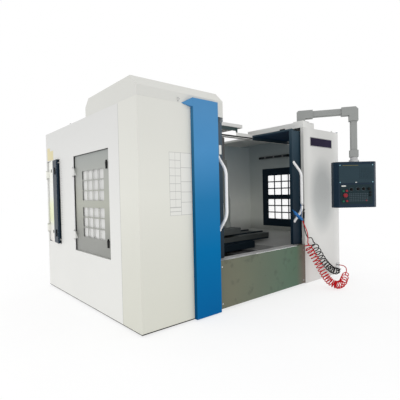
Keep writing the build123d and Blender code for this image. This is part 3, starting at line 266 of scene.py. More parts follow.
# Glows a little: painted light that lifts the shade in the window's hinge gap.
GAP = Finish("gap", grey(0.66), grey(0.6), 0.4, 0.6, shine=0.2, glow=0.12)
SEAL = Finish("seal", (0.13, 0.14, 0.13), (0.07, 0.08, 0.08), 0.7, 0.7, scale=60, bump=0.05, shine=0.1)
KEY = Finish("key", (0.055, 0.078, 0.092), (0.04, 0.06, 0.072), 0.4, 0.45, shine=0.2)
GOLD = Finish("gold", (0.2, 0.17, 0.05), (0.14, 0.12, 0.05), 0.4, 0.5, shine=0.2)
CYAN = Finish("cyan", (0.22, 0.42, 0.5), (0.16, 0.34, 0.42), 0.3, 0.4)
FLOOR = Finish("floor", grey(0.3), grey(0.29), 0.3, 0.9, bump=0.0, glow=2.35, shine=0.0)


def noisy(tree: Tree, where: Socket, scale: float, detail: float) -> Socket:
    """The strength of a noise texture at the given coordinates."""
    noise = tree.nodes.new("ShaderNodeTexNoise")
    noise.inputs["Scale"].default_value = scale
    noise.inputs["Detail"].default_value = detail
    tree.links.new(where, noise.inputs["Vector"])
    return noise.outputs[0]


def ranged(tree: Tree, value: Socket, low: float, high: float, most: float = 1.0) -> Socket:
    """Maps the run from low to high onto 0 to most."""
    share = tree.nodes.new("ShaderNodeMapRange")
    for name, number in (("From Min", low), ("From Max", high), ("To Max", most)):
        share.inputs[name].default_value = number
    tree.links.new(value, share.inputs["Value"])
    return share.outputs["Result"]


def mixed(tree: Tree, share: Socket, base: Socket | Triple, other: Triple) -> Socket:
    """Mixes a base colour with another, by a share from 0 to 1."""
    mix = tree.nodes.new("ShaderNodeMix")
    mix.data_type = "RGBA"
    tree.links.new(share, mix.inputs["Factor"])
    if isinstance(base, tuple):
        mix.inputs["A"].default_value = (*base, 1.0)
    else:
        tree.links.new(base, mix.inputs["A"])
    mix.inputs["B"].default_value = (*other, 1.0)
    return mix.outputs["Result"]


def stretched(tree: Tree, where: Socket, scale: Triple, shift: Triple = (0.0, 0.0, 0.0)) -> Socket:
    """Coordinates times a scale, plus a shift."""
    mapping = tree.nodes.new("ShaderNodeMapping")
    mapping.inputs["Scale"].default_value = scale
    mapping.inputs["Location"].default_value = shift
    tree.links.new(where, mapping.inputs["Vector"])
    return mapping.outputs["Vector"]


def faded(tree: Tree, where: Socket, fade: Fade) -> Socket:
    """Colour along one axis: a ramp over the share of the way from the first stop to the last."""
    split = tree.nodes.new("ShaderNodeSeparateXYZ")
    tree.links.new(where, split.inputs["Vector"])
    low, high = fade.stops[0][0], fade.stops[-1][0]
    ramp = tree.nodes.new("ShaderNodeValToRGB")
    tree.links.new(ranged(tree, split.outputs[fade.axis], low, high), ramp.inputs["Fac"])
    elements = ramp.color_ramp.elements
    while len(elements) < len(fade.stops):
        elements.new(0.5)
    for element, (station, colour) in zip(elements, fade.stops):
        element.position = (station - low) / (high - low)
        element.color = (*colour, 1.0)
    return ramp.outputs["Color"]


def reflected(tree: Tree, where: Socket, colour: Socket) -> Socket:
    """Paints a soft grey reflection: darkens an oval round a point of the right panel, most in its middle.
    """
    (x, z), (wide, high) = REFLECTION_PLACE, REFLECTION_SCALE
    ball = tree.nodes.new("ShaderNodeTexGradient")
    ball.gradient_type = "SPHERICAL"
    tree.links.new(stretched(tree, where, (wide, 0.0, high), (-x * wide, 0.0, -z * high)),
                   ball.inputs["Vector"])
    return mixed(tree, ranged(tree, ball.outputs["Fac"], 0.0, 0.45, 0.62), colour, REFLECTION_GREY)


def patched(tree: Tree, where: Socket, finish: Finish) -> Socket:
    """Base colour leaning to the tint in soft patches, with a painted reflection where the finish has one
    and darker smudges where there is grime.
    """
    share = ranged(tree, noisy(tree, where, 1.7, 4.0), 0.35, 0.7, finish.blend)
    base = faded(tree, where, finish.fade) if finish.fade else finish.colour
    result = mixed(tree, share, base, finish.tint)
    if finish.painted_reflection:
        result = reflected(tree, where, result)
    if finish.grime:
        smudges = ranged(tree, noisy(tree, where, 11.0, 6.0), 0.58, 0.78, finish.grime)
        result = mixed(tree, smudges, result, SMUDGE)
    return result


def relief(tree: Tree, where: Socket, finish: Finish) -> Socket:
    """Bump from fine noise, stretched by the finish's grain."""
    if finish.grain is not Grain.EVEN:
        where = stretched(tree, where, finish.grain.value)
    bump = tree.nodes.new("ShaderNodeBump")
    bump.inputs["Strength"].default_value = finish.bump
    bump.inputs["Distance"].default_value = 0.002
    tree.links.new(noisy(tree, where, finish.scale, 3.0), bump.inputs["Height"])
    return bump.outputs["Normal"]


class Paintshop:
    """Builds one node material for each finish and puts it on meshes.

    Attributes:
        made: the materials so far, by name.
    """

    def __init__(self) -> None:
        self.made: dict[str, bpy.types.Material] = {}

    def material(self, finish: Finish) -> bpy.types.Material:
        """Builds, or finds, a finish's material, whose patches and relief come from Object coordinates."""
        if finish.name in self.made:
            return self.made[finish.name]
        material = bpy.data.materials.new(finish.name)
        material.use_nodes = True
        tree = material.node_tree
        shader = tree.nodes["Principled BSDF"]
        values = {"Roughness": finish.rough, "Metallic": finish.metal, "Specular IOR Level": finish.shine,
                  "Coat Weight": finish.coat, "Coat Roughness": 0.12, "Transmission Weight": finish.clear}
        for name, value in values.items():
            shader.inputs[name].default_value = value
        where = tree.nodes.new("ShaderNodeTexCoord").outputs["Object"]
        paint = patched(tree, where, finish)
        tree.links.new(paint, shader.inputs["Base Color"])
        if finish.glow:
            tree.links.new(paint, shader.inputs["Emission Color"])
            shader.inputs["Emission Strength"].default_value = finish.glow
        if finish.bump:
            tree.links.new(relief(tree, where, finish), shader.inputs["Normal"])
        self.made[finish.name] = material
        return material

    def dress(self, thing: Thing, finish: Finish) -> None:
        """Gives a mesh this finish alone."""
        thing.data.materials.clear()
        thing.data.materials.append(self.material(finish))

    def dress_region(self, thing: Thing, finish: Finish, low: Triple, high: Triple) -> None:
        """Gives the faces whose middle lies in a box a second finish.

        Args:
            thing: a dressed mesh.
            finish: the second finish.
            low: the box's lowest corner, in shop millimetres.
            high: its highest corner.
        """
        mesh = thing.data
        count = len(mesh.polygons)
        middle = np.empty(count * 3)
        mesh.polygons.foreach_get("center", middle)
        world = np.array(thing.matrix_world)
        middle = middle.reshape(-1, 3) @ world[:3, :3].T + world[:3, 3]
        inside = np.all((middle >= shop(*low)) & (middle <= shop(*high)), axis=1)
        index = np.empty(count, dtype=np.int32)
        mesh.polygons.foreach_get("material_index", index)
        mesh.materials.append(self.material(finish))
        index[inside] = len(mesh.materials) - 1
        mesh.polygons.foreach_set("material_index", index)
        mesh.update()


def mesh_object(name: str, vertices: np.ndarray | list, faces: np.ndarray | list,
                smooth: bool = False) -> Thing:
    """Makes a mesh object at the origin from arrays of vertices and faces."""
    mesh = bpy.data.meshes.new(name)
    mesh.from_pydata(np.asarray(vertices, float).tolist(), [], [list(map(int, f)) for f in faces])
    mesh.polygons.foreach_set("use_smooth", np.full(len(mesh.polygons), smooth))
    mesh.update()
    thing = bpy.data.objects.new(name, mesh)
    bpy.context.scene.collection.objects.link(thing)
    return thing


def merge(name: str, parts: list[Part], smooth: bool = False) -> Thing:
    """Joins several (vertices, faces) pairs into one object."""
    vertices = np.concatenate([p[0] for p in parts])
    offset = np.cumsum([0] + [len(p[0]) for p in parts[:-1]])
    faces = [tuple(np.asarray(f) + o) for (_, fs), o in zip(parts, offset) for f in fs]
    return mesh_object(name, vertices, faces, smooth)


def slab_part(origin: np.ndarray, along: np.ndarray, up: np.ndarray, out: np.ndarray, size: Triple,
              corner: float = 0.0, steps: int = 5) -> Part:
    """A plate with rounded corners, whose back is centred on origin; out is its outward normal.

    The outline is p(t) = (a sx + r cos t, b sy + r sin t), with a and b the half sizes less the corner
    radius r, and sx, sy the signs of the quarter.
    """
    half = np.array((size[0] / 2 - corner, size[1] / 2 - corner))
    turn = np.linspace(0, math.pi / 2, steps) if corner else np.array((math.pi / 4,))
    quarter = np.arange(4)[:, None] * math.pi / 2 + turn[None, :]
    signs = np.array(((1, 1), (-1, 1), (-1, -1), (1, -1)))[:, None, :]
    flat = (signs * half + corner * np.stack((np.cos(quarter), np.sin(quarter)), axis=-1)).reshape(-1, 2)
    ring = origin + flat[:, :1] * along + flat[:, 1:] * up
    count = len(ring)
    vertices = np.concatenate((ring, ring + out * size[2]))
    step = np.arange(count)
    sides = np.stack((step, (step + 1) % count, (step + 1) % count + count, step + count), axis=1)
    faces = [tuple(step[::-1]), tuple(step + count)] + [tuple(s) for s in sides]
    return vertices, faces


def disc_part(origin: np.ndarray, axis: np.ndarray, radii: list[float], heights: list[float],
              sides: int = 20) -> Part:
    """A turned piece along axis: rings of the given radii at the given heights, with flat ends."""
    axis = np.asarray(axis, float) / np.linalg.norm(axis)
    helper = np.array((0.0, 0.0, 1.0)) if abs(axis[2]) < 0.9 else np.array((1.0, 0.0, 0.0))
    across = np.cross(helper, axis)
    across /= np.linalg.norm(across)
    other = np.cross(axis, across)
    turn = np.linspace(0, 2 * math.pi, sides, endpoint=False)
    circle = np.cos(turn)[:, None] * across + np.sin(turn)[:, None] * other
    vertices = np.concatenate([origin + r * circle + h * axis for r, h in zip(radii, heights)])
    step = np.arange(sides)
    faces = [tuple(step[::-1]), tuple(step + sides * (len(radii) - 1))]
    for ring in range(len(radii) - 1):
        near, far = step + ring * sides, (step + 1) % sides + ring * sides
        quads = np.stack((near, far, far + sides, near + sides), axis=1)
        faces += [tuple(q) for q in quads]
    return vertices, faces


def moving_frames(path: np.ndarray) -> tuple[np.ndarray, np.ndarray, np.ndarray]:
    """Tangents and two normals along a path, each normal carried from the last with least turn."""
    tangents = np.gradient(path, axis=0)
    tangents /= np.linalg.norm(tangents, axis=1)[:, None]
    first = np.cross(tangents[0], (0.0, 1.0, 0.0))
    normals = [first / np.linalg.norm(first)]
    for tangent in tangents[1:]:
        carried = normals[-1] - tangent * np.dot(normals[-1], tangent)
        normals.append(carried / np.linalg.norm(carried))
    normals = np.array(normals)
    return tangents, normals, np.cross(tangents, normals)


def tube_part(path: np.ndarray, radius: float, sides: int = 8) -> Part:
    """A tube: ring i is path_i + r (n_i cos t + b_i sin t), with flat ends."""
    _, normals, others = moving_frames(path)
    turn = np.linspace(0, 2 * math.pi, sides, endpoint=False)
    rings = (path[:, None, :] + radius * (np.cos(turn)[None, :, None] * normals[:, None, :]
                                          + np.sin(turn)[None, :, None] * others[:, None, :]))
    count = len(path)
    row, column = np.meshgrid(np.arange(count - 1), np.arange(sides), indexing="ij")
    base = row * sides
    near, far = base + column, base + (column + 1) % sides
    quads = np.stack((near, far, far + sides, near + sides), axis=-1).reshape(-1, 4)
    faces = [tuple(q) for q in quads.tolist()]
    faces += [tuple(range(sides - 1, -1, -1)), tuple(range((count - 1) * sides, count * sides))]
    return rings.reshape(-1, 3), faces


def resampled(places: np.ndarray, stations: np.ndarray, rows: np.ndarray) -> np.ndarray:
    """Rows that are known at rising stations, interpolated at other places."""
    return np.stack([np.interp(places, stations, column) for column in rows.T], axis=1)


@dataclass
class Studio:
    """Camera at the photograph's viewpoint, pale floor and soft light.

    Attributes:
        position: the camera's place.
        heading: its turn from +Y towards +X, in degrees.
        tilt: its look above the horizon, in degrees.
        roll: its turn about its own line of sight, in degrees.
        lens: focal length in millimetres, on a 36 mm sensor.
    """

    position: Triple = (-3.162, -3.973, 1.211)
    heading: float = 40.3068
    tilt: float = -1.1198
    roll: float = -1.2574
    lens: float = 31.576

    def camera(self) -> None:
        """Adds the camera."""
        data = bpy.data.cameras.new("view")
        data.lens, data.sensor_width = self.lens, 36.0
        thing = bpy.data.objects.new("view", data)
        heading, tilt, roll = (math.radians(v) for v in (self.heading, self.tilt, self.roll))
        level = Vector((math.cos(heading), -math.sin(heading), 0.0))
        forward = Vector((math.sin(heading), math.cos(heading), math.tan(tilt))).normalized()
        right = level * math.cos(roll) + level.cross(forward) * math.sin(roll)
        turn = Matrix((right, right.cross(forward), -forward)).transposed()
        thing.matrix_world = Matrix.Translation(self.position) @ turn.to_4x4()
        bpy.context.scene.collection.objects.link(thing)
        bpy.context.scene.camera = thing

    def lights(self) -> None:
        """Pale surroundings, a large overhead source and a weak one from the front left."""
        world = bpy.data.worlds.new("surroundings")
        world.use_nodes = True
        sky = world.node_tree.nodes["Background"]
        sky.inputs["Color"].default_value = (1.0, 1.0, 1.0, 1.0)
        sky.inputs["Strength"].default_value = 1.0
        bpy.context.scene.world = world
        bpy.context.scene.view_settings.view_transform = "Standard"
        self._area("overhead", (-1.0, -3.5, 6.0), (0.0, 0.0, 1.0), 5.0, 14.0)
        self._area("left", (-6.5, 0.5, 3.0), (-1.6, 0.0, 1.0), 4.0, 16.0)

    @staticmethod
    def _area(name: str, place: Triple, target: Triple, size: float, power: float) -> None:
        """One square area light that faces the target."""
        data = bpy.data.lights.new(name, "AREA")
        data.size, data.energy = size, power
        thing = bpy.data.objects.new(name, data)
        aim = Vector(target) - Vector(place)
        thing.matrix_world = Matrix.Translation(place) @ aim.to_track_quat("-Z", "Y").to_matrix().to_4x4()
        bpy.context.scene.collection.objects.link(thing)

    @staticmethod
    def floor(paint: Paintshop, half: float = 30.0, drop: float = 0.001) -> None:
        """Pale square floor, half its width each way, just below the row's lowest point."""
        corners = [(x * half, y * half, -drop) for x, y in ((-1, -1), (1, -1), (1, 1), (-1, 1))]
        floor = mesh_object("floor", corners, [(0, 1, 2, 3)])
        paint.dress(floor, FLOOR)


@dataclass
class CoiledHose:
    """A hose that leaves a gun, runs as a coil and ends at the foot of the right panel.

    Attributes:
        name: the piece's name.
        lead: route points from the gun to the coil, in shop millimetres.
        coil: route points of the coil's centre line.
        tail: route points from the coil to the fitting.
        nodes: the CAD nodes that it stands for.
        finish: its finish.
        turns: number of turns.
        density: pairs of a share of the coil's length and how closely its turns lie there.
        hose_r: hose radius in metres.
        coil_r: outer radius of the coil in metres.
        slack: play between the turns and that radius, in metres.
        spacing: distance between the points of a plain stretch, in metres.
        fine: the same along the coil's line, before its turns are laid.
        turn_steps: points in one turn.
    """

    name: str
    lead: list[Triple]
    coil: list[Triple]
    tail: list[Triple]
    nodes: tuple[str, ...]
    finish: Finish
    turns: float
    density: tuple[tuple[float, float], ...]
    hose_r: float = 0.006
    coil_r: float = 0.05
    slack: float = 0.0015
    spacing: float = 0.006
    fine: float = 0.001
    turn_steps: int = 26

    @staticmethod
    def centre_line(points: list[Triple], spacing: float) -> np.ndarray:
        """Samples the smooth route through shop points.

        Args:
            points: route points.
            spacing: distance between samples, in metres.

        Returns:
            Points along a NURBS curve of order 3 that ends at the first and last point.
        """
        data = bpy.data.curves.new("route", "CURVE")
        data.dimensions = "3D"
        spline = data.splines.new("NURBS")
        places = np.array([shop(*p) for p in points])
        spline.points.add(len(places) - 1)
        spline.points.foreach_set("co", np.concatenate((places, np.ones((len(places), 1))), axis=1).ravel())
        spline.order_u = 3
        spline.use_endpoint_u = True
        spline.resolution_u = 24
        thing = bpy.data.objects.new("route", data)
        mesh = bpy.data.meshes.new_from_object(thing)
        line = np.array([v.co for v in mesh.vertices])
        bpy.data.objects.remove(thing)
        bpy.data.curves.remove(data)
        bpy.data.meshes.remove(mesh)
        run = np.concatenate(((0.0,), np.cumsum(np.linalg.norm(np.diff(line, axis=0), axis=1))))
        return resampled(np.linspace(0, run[-1], max(8, int(run[-1] / spacing))), run, line)

    def route(self) -> np.ndarray:
        """The hose's own centre line, with its helix.

        Along the coil's line c(s), the hose is c(s) + R(s) (n cos f(s) + b sin f(s)). There f is the
        integral of the density, and R rises from 0 to the coil's radius over the first turn and falls
        over the last.
        """
        lead = self.centre_line(self.lead, self.spacing)
        tail = self.centre_line(self.tail, self.spacing)
        centre = self.centre_line(self.coil, self.fine)
        _, normals, others = moving_frames(centre)
        share = np.linspace(0, 1, len(centre))
        stations, weights = zip(*self.density)
        crowding = np.cumsum(np.interp(share, stations, weights))
        angle = 2 * math.pi * self.turns * crowding / crowding[-1]
        ease = np.clip(np.minimum(angle, angle[-1] - angle) / (2 * math.pi), 0, 1)
        reach = (self.coil_r - self.hose_r - self.slack) * np.sin(ease * math.pi / 2)
        even = np.linspace(0, angle[-1], int(self.turns * self.turn_steps))
        rows = np.concatenate((centre, normals, others, reach[:, None]), axis=1)
        middle, n, b, r = np.split(resampled(even, angle, rows), (3, 6, 9), axis=1)
        helix = middle + r * (np.cos(even)[:, None] * n + np.sin(even)[:, None] * b)
        return np.concatenate((lead[:-1], helix[1:-1], tail[1:]))

    def build(self, paint: Paintshop) -> None:
        path = self.route()
        piece = mesh_object(self.name, *tube_part(path, self.hose_r), smooth=True)
        paint.dress(piece, self.finish)
        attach(piece, "machine_frame")
        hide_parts(*self.nodes)


def onward(points: list[Triple], reach: float) -> Triple:
    """The point that carries a route's last run straight on."""
    last, before = np.array(points[-1], float), np.array(points[-2], float)
    run = last - before
    return tuple(last + run / np.linalg.norm(run) * reach)


RED_LEAD = [(2262, -80, 844), (2276, -80, 822), (2308, -78, 776), (2352, -75, 722), (2384, -72, 660),
            (2390, -71, 596), (2384, -70, 545)]
BLACK_LEAD = [(2338, -48, 864), (2336, -48, 818), (2338, -49, 766), (2354, -51, 712), (2378, -54, 650),
              (2416, -57, 606), (2508, -58, 612), (2532, -58, 545)]
RED_COIL = [RED_LEAD[-1], onward(RED_LEAD, 40), (2432, -88, 428), (2472, -124, 338), (2484, -184, 233),
            (2470, -262, 136), (2460, -344, 75), (2500, -404, 52), (2640, -390, 51), (2800, -322, 51),
            (2956, -258, 51), (3085, -206, 55), (3160, -174, 76)]
BLACK_COIL = [BLACK_LEAD[-1], onward(BLACK_LEAD, 40), (2600, -59, 448), (2665, -58, 376), (2738, -60, 292),
              (2832, -66, 206), (2932, -76, 132), (3032, -80, 88), (3122, -74, 78)]
RED_TAIL = [RED_COIL[-1], onward(RED_COIL, 30), (3220, -140, 118), (3240, -98, 135), (3242, -64, 138),
            (3242, -30, 138)]
BLACK_TAIL = [BLACK_COIL[-1], onward(BLACK_COIL, 30), (3184, -50, 84), (3206, -50, 84)]
RED_DENSITY = ((0.0, 0.9), (0.28, 0.95), (0.42, 1.5), (0.5, 1.5), (0.57, 0.38), (1.0, 0.22))
BLACK_DENSITY = ((0.0, 0.62), (0.35, 0.6), (0.55, 0.85), (1.0, 1.0))

NODES_BY_FINISH: dict[Finish, str] = {
    CASTING: "machine_base column spindle_head", BRIGHT: "levelling_feet hose_bulkhead spindle tool_arm",
    SIDE_WHITE: "left_side_panel", FRONT_WHITE: "front_left_panel", BLUE: "blue_pillar",
    APRON: "front_apron", RIGHT_PANEL: "right_front_panel", GREY: "right_side_panel",
    WINDOW_NAVY: "right_window_panel", BRIGHT_PANE: "right_window_pane",
    WHITE: "rear_cabinet right_roof pendant_flange", HOOD_WHITE: "roof_hood",
    PANEL: "roof_cover magazine_disc", STAINLESS: "door_rails", INNER_STEEL: "chip_pans", LAMP: "work_lamp",
    POST_NAVY: "left_door", GLASS: "left_door_window right_door_window",
    HANDLE: "left_door_handle right_door_handle", NAVY: "right_door",
    BLUE_PLASTIC: "air_gun air_gun_trigger",
    BLACK: "coolant_gun window_latch_upper window_latch_lower access_latch_upper"
           " access_latch_lower mode_knob feed_knob speed_knob",
    SATIN_PLATE: "left_window_door", PANE: "left_window_pane", VENT_WHITE: "rear_access_door",
    SADDLE_BLACK: "saddle", IRON: "saddle_cover table", ARM_GREY: "arm_elbows arm_tubes",
    BOX_NAVY: "operator_box", BEZEL: "front_bezel", LOWER_PLATE: "operator_panel",
    GREEN_PLASTIC: "cycle_start power_on", RED_PLASTIC: "feed_hold power_off emergency_stop",
}

HINGE_GAP = ((-1, 1440, 560), (60, 1480, 1690))
HINGE_KNUCKLES = ((-40, 1400, 560), (-1, 1480, 1690))
# A node, its second finish, and the box round the middles of those faces, in shop millimetres.
REGIONS: tuple[tuple[str, Finish, Triple, Triple], ...] = (
    # Painted shade on the pillar's side face.
    ("blue_pillar", SIDE_BLUE, (560, -60, 0), (579, 60, 2030)),
    ("door_rails", PANEL, (0, 600, 1900), (3300, 760, 2100)),
    # Painted light in the window's hinge gap, on the wall and on the window door.
    ("left_side_panel", GAP, *HINGE_GAP),
    ("left_side_panel", SIDE_WHITE, *HINGE_KNUCKLES),
    ("left_window_door", GAP, *HINGE_GAP),
    ("left_window_door", SIDE_WHITE, *HINGE_KNUCKLES),
    # Painted shade on the inner faces of the access opening's rim.
    ("left_side_panel", BOX_NAVY, (0.5, 1900, 600), (60, 2385, 1690)),
    # Painted shade on the access door's front edge.
    ("rear_access_door", BOX_NAVY, (-110, 1905, 600), (60, 1934, 1690)),
    # Painted shade on the underside of the right door's roof.
    ("right_door", DEEP_NAVY, (2300, 40, 1978), (3300, 760, 1982)),
    ("right_side_panel", SIDE_WHITE, (3299, 0, 0), (3310, 2500, 2200)),
    ("operator_box", COLLAR_GREY, (2600, -700, 1564), (3600, 0, 1800)),
    # Painted light on the box's top face.
    ("operator_box", BOX_TOP, (2600, -700, 1562), (3600, 0, 1564)),
    ("air_gun", BRIGHT, (2268, -76, 1044), (2324, -24, 1062)),
)

# How far the rear access door stands open.
AJAR_TURN = math.radians(7.0)


class Facing(Enum):
    """The side of the machine that a flat piece is on: its rightward, upward and outward directions."""

    FRONT = ((1.0, 0.0, 0.0), (0.0, 0.0, 1.0), (0.0, -1.0, 0.0))
    LEFT = ((0.0, -1.0, 0.0), (0.0, 0.0, 1.0), (-1.0, 0.0, 0.0))
    TOP = ((1.0, 0.0, 0.0), (0.0, 1.0, 0.0), (0.0, 0.0, 1.0))
    AJAR = ((-math.sin(AJAR_TURN), -math.cos(AJAR_TURN), 0.0), (0.0, 0.0, 1.0),
            (-math.cos(AJAR_TURN), math.sin(AJAR_TURN), 0.0))


FRONT, LEFT, TOP, AJAR = Facing


def plate(place: Triple, size: Triple, facing: Facing, corner: float = 0.0) -> Part:
    """A flat plate on a wall.

    Args:
        place: middle of its back, in shop millimetres.
        size: width, height and thickness in millimetres.
        facing: the side that it is on.
        corner: corner radius in millimetres.

    Returns:
        Vertices and faces.
    """
    along, up, out = (np.array(v) for v in facing.value)
    return slab_part(shop(*place), along, up, out, tuple(v / 1000.0 for v in size), corner / 1000.0)


def stud(place: Triple, facing: Facing, radius: float, height: float) -> Part:
    """A round screw head on a wall, place and sizes in millimetres."""
    out = np.array(facing.value[2])
    return disc_part(shop(*place), out, [radius / 1000.0, radius / 1000.0, radius / 1500.0],
                     [0.0, height / 1500.0, height / 1000.0], 12)


def frame_parts(place: Triple, size: Triple, width: float, facing: Facing) -> list[Part]:
    """Four strips round a rectangle; size is the outer width, height and thickness, in millimetres."""
    along, up = (np.array(v) for v in facing.value[:2])
    upright, level = (width, size[1], size[2]), (size[0] - 2 * width, width, size[2])
    parts = []
    for side in (-0.5, 0.5):
        parts.append(plate(place + side * along * (size[0] - width), upright, facing))
        parts.append(plate(place + side * up * (size[1] - width), level, facing))
    return parts


@dataclass
class Trim:
    """Puts small added pieces on the machine.

    Attributes:
        paint: the material maker.
    """

    paint: Paintshop

    def add(self, name: str, parts: list[Part], slot: str, finish: Finish, body: str = "machine_frame",
            smooth: bool = False) -> None:
        """Joins parts into one piece that rides a body.

        Args:
            name: the piece's name.
            parts: its vertices and faces.
            slot: the record's material slot; not used.
            finish: its finish.
            body: the body that it moves with.
            smooth: True for smooth shading.
        """
        piece = merge(name, parts, smooth)
        self.paint.dress(piece, finish)
        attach(piece, body)

    def sheet(self, name: str, place: Triple, size: Triple, facing: Facing, slot: str, finish: Finish,
              corner: float = 0.0, body: str = "machine_frame") -> None:
        """Makes a piece of one plate; see plate and add for the values."""
        self.add(name, [plate(place, size, facing, corner)], slot, finish, body)


@dataclass
class Enclosure(Trim):
    """Blank plates, seams, screws and small fittings of the sheet metal."""

    def build(self) -> None:
        """Adds every piece of the enclosure."""
        self.notices()
        self.window_bars()
        self.roof_folds()
        self.sill()
        self.access_door()
        self.left_wall()
        self.fasteners()
        self.hooks()
        self.lamp()

    def notices(self) -> None:
        """Blank plates in two narrow columns and a broad one, two wide strips, and a bare dark nameplate."""
        rows = np.linspace(1586, 1088, 8)
        broad = (1586, 1450, 1320, 1225, 1130, 1014)
        blanks = [plate((381, -0.4, z), (122, 30, 0.6), FRONT, 3) for z in (1066, 1030)]
        for x, width, edges in ((350, 60, rows), (412, 58, rows), (509, 124, broad)):
            blanks += [plate((x, -0.4, (upper + lower) / 2), (width, upper - lower - 5, 0.6), FRONT, 3)
                       for upper, lower in zip(edges[:-1], edges[1:])]
        self.add("blank_labels", blanks, "white_paint", LABEL)
        self.sheet("label_backing", (446, -0.1, 1300), (258, 576, 0.3), FRONT, "white_paint", LABEL_RIM)
        self.sheet("bare_nameplate", (2854, -0.2, 1857), (540, 122, 2), FRONT, "dark_iron", NAMEPLATE, 4)
        rim = frame_parts((2854, -2.2, 1857), (540, 122, 0.5), 8, FRONT)
        self.add("nameplate_edge", rim, "bright_steel", NAME_EDGE)

    def window_bars(self) -> None:
        """Dark bars between the openings of the right window's panel."""
        bars = [plate((3262.5, y, 1116), (22, 960, 1), LEFT) for y in (834, 973, 1112)]
        bars += [plate((3262.3, 972.5, z), (560, 18, 1), LEFT) for z in (1375.5, 1264, 976.5, 865)]
        self.add("window_grid_trim", bars, "navy_paint", WINDOW_NAVY)

    def roof_folds(self) -> None:
        """The fold behind the roof cover's edge, and the cover and dark lines along the upper rail."""
        folds = [plate((2090, 1017, 2137), (380, 50, 2), FRONT),
                 plate((2262, 1015, 2122), (24, 66, 12), FRONT)]
        self.add("roof_cover_fold", folds, "dark_iron", ROOF_FOLD)
        shadows = [plate((1720, 709.5, 1941), (1400, 7, 1), FRONT),
                   plate((1960, 709.5, 1963), (600, 18, 1), FRONT),
                   plate((3086, 709, 1960), (96, 26, 1), FRONT)]
        self.add("rail_shadow_strip", shadows, "dark_iron", RUBBER_AND_SHADE)
        self.sheet("crossbar_cover", (2211, 757, 2001.5), (454, 51, 2), FRONT, "panel_light", PANEL)
        self.sheet("header_plate", (2439.8, 330, 2040), (86, 26, 1.5), LEFT, "dark_iron", RUBBER_AND_SHADE)

    def sill(self) -> None:
        """Strip on the doorway's sill with a painted reflection and smudges, and a painted highlight along
        its edge.
        """
        self.sheet("sill_reflection_strip", (1580, 26, 520.2), (1366, 52, 0.5), TOP, "stainless", LEDGE)
        self.sheet("sill_highlight", (1870, 7, 520.9), (780, 14, 0.3), TOP, "stainless", SILL_HIGHLIGHT)

    def access_door(self) -> None:
        """A dark strip and lock covers on the rear access door, and a dark board behind it; the strip and
        the board are painted shade.
        """
        # Painted shade: a dark strip along the leaf's front edge.
        self.sheet("access_edge_shade", (-28.6, 2022, 1145), (214, 1050, 0.3), AJAR, "navy_paint", BOX_NAVY,
                   body="access_door")
        # Painted shade: a dark board that darkens the inside seen through the opening.
        self.sheet("access_shade_board", (210, 2397.5, 1145), (360, 1050, 1.5), FRONT, "dark_iron", BOX_NAVY)
        covers = [stud((-4.6, 2217, 1545), AJAR, 22, 3), stud((-10, 2174, 752), AJAR, 22, 3)]
        self.add("access_lock_covers", covers, "black_plastic", BLACK, "access_door")

    def left_wall(self) -> None:
        """A seam, two bare plates, vent slots, painted shade along the window recess's top and hinge edges,
        and a painted shadow strip at the foot.
        """
        self.sheet("wall_seam", (-0.1, 336, 1030), (3, 2020, 0.3), LEFT, "white_paint", SEAM)
        bare = [plate((-0.2, 2255, 1745), (230, 120, 0.6), LEFT, 2),
                plate((-0.2, 2318, 1828), (104, 44, 0.6), LEFT, 2)]
        self.add("service_plate", bare, "panel_light", BEIGE)
        slots = [plate((-0.1, 1862, z), (44, 5, 0.3), LEFT) for z in range(860, 1560, 30)]
        self.add("vent_slots", slots, "white_paint", LABEL_RIM)
        # Painted shade: dark strips along the window recess's top and hinge edges.
        strips = [plate((17.5, 1000, 1663), (894, 3, 12), LEFT),
                  plate((17.5, 1446.5, 1125), (4, 1072, 12), LEFT)]
        self.add("window_recess_shade", strips, "black_plastic", RUBBER_AND_SHADE)
        # Painted shadow: a thin dark line at the foot of the front and the left side.
        feet = [plate((447, -0.1, 20), (894, 9, 0.3), FRONT),
                plate((-0.1, 1210, 18), (2420, 6, 0.3), LEFT)]
        self.add("foot_shadow_strip", feet, "dark_iron", RUBBER_AND_SHADE)

    def fasteners(self) -> None:
        """Screws of the right wall and of the apron."""
        walls = [stud((3297.8, 1950, z), LEFT, 7, 3) for z in (1880, 1590, 1290, 990, 690)]
        self.add("wall_screws", walls, "dark_iron", RUBBER_AND_SHADE)
        apron = [stud((x, -0.1, z), FRONT, 8, 3)
                 for x, z in ((947, 77), (2384, 70), (947, 455), (2384, 455))]
        self.add("apron_screws", apron, "bright_steel", BRIGHT)

    def hooks(self) -> None:
        """The hood's open hook, the lifting eye's stem and the stop on the right panel."""
        turn = np.linspace(-0.6, 3.74, 22)
        ring = shop(430, -8, 2076) + 0.012 * np.stack((np.cos(turn), 0 * turn, np.sin(turn)), axis=1)
        hook = [tube_part(ring, 0.0022), stud((430, 0, 2060), FRONT, 5, 9)]
        self.add("hood_hook", hook, "bright_steel", BRIGHT, smooth=True)
        upward = np.array(TOP.value[2])
        eye = disc_part(shop(10, 1529, 2044), upward, [0.005, 0.005, 0.007, 0.007],
                        [0.0, 0.010, 0.010, 0.016], 12)
        self.add("eye_stem", [eye], "bright_steel", BRIGHT)
        stop = disc_part(shop(3150, 14, 2029), upward, [0.012, 0.012, 0.006], [0.0, 0.012, 0.022], 14)
        self.add("panel_stop", [stop], "white_paint", RIGHT_PANEL)

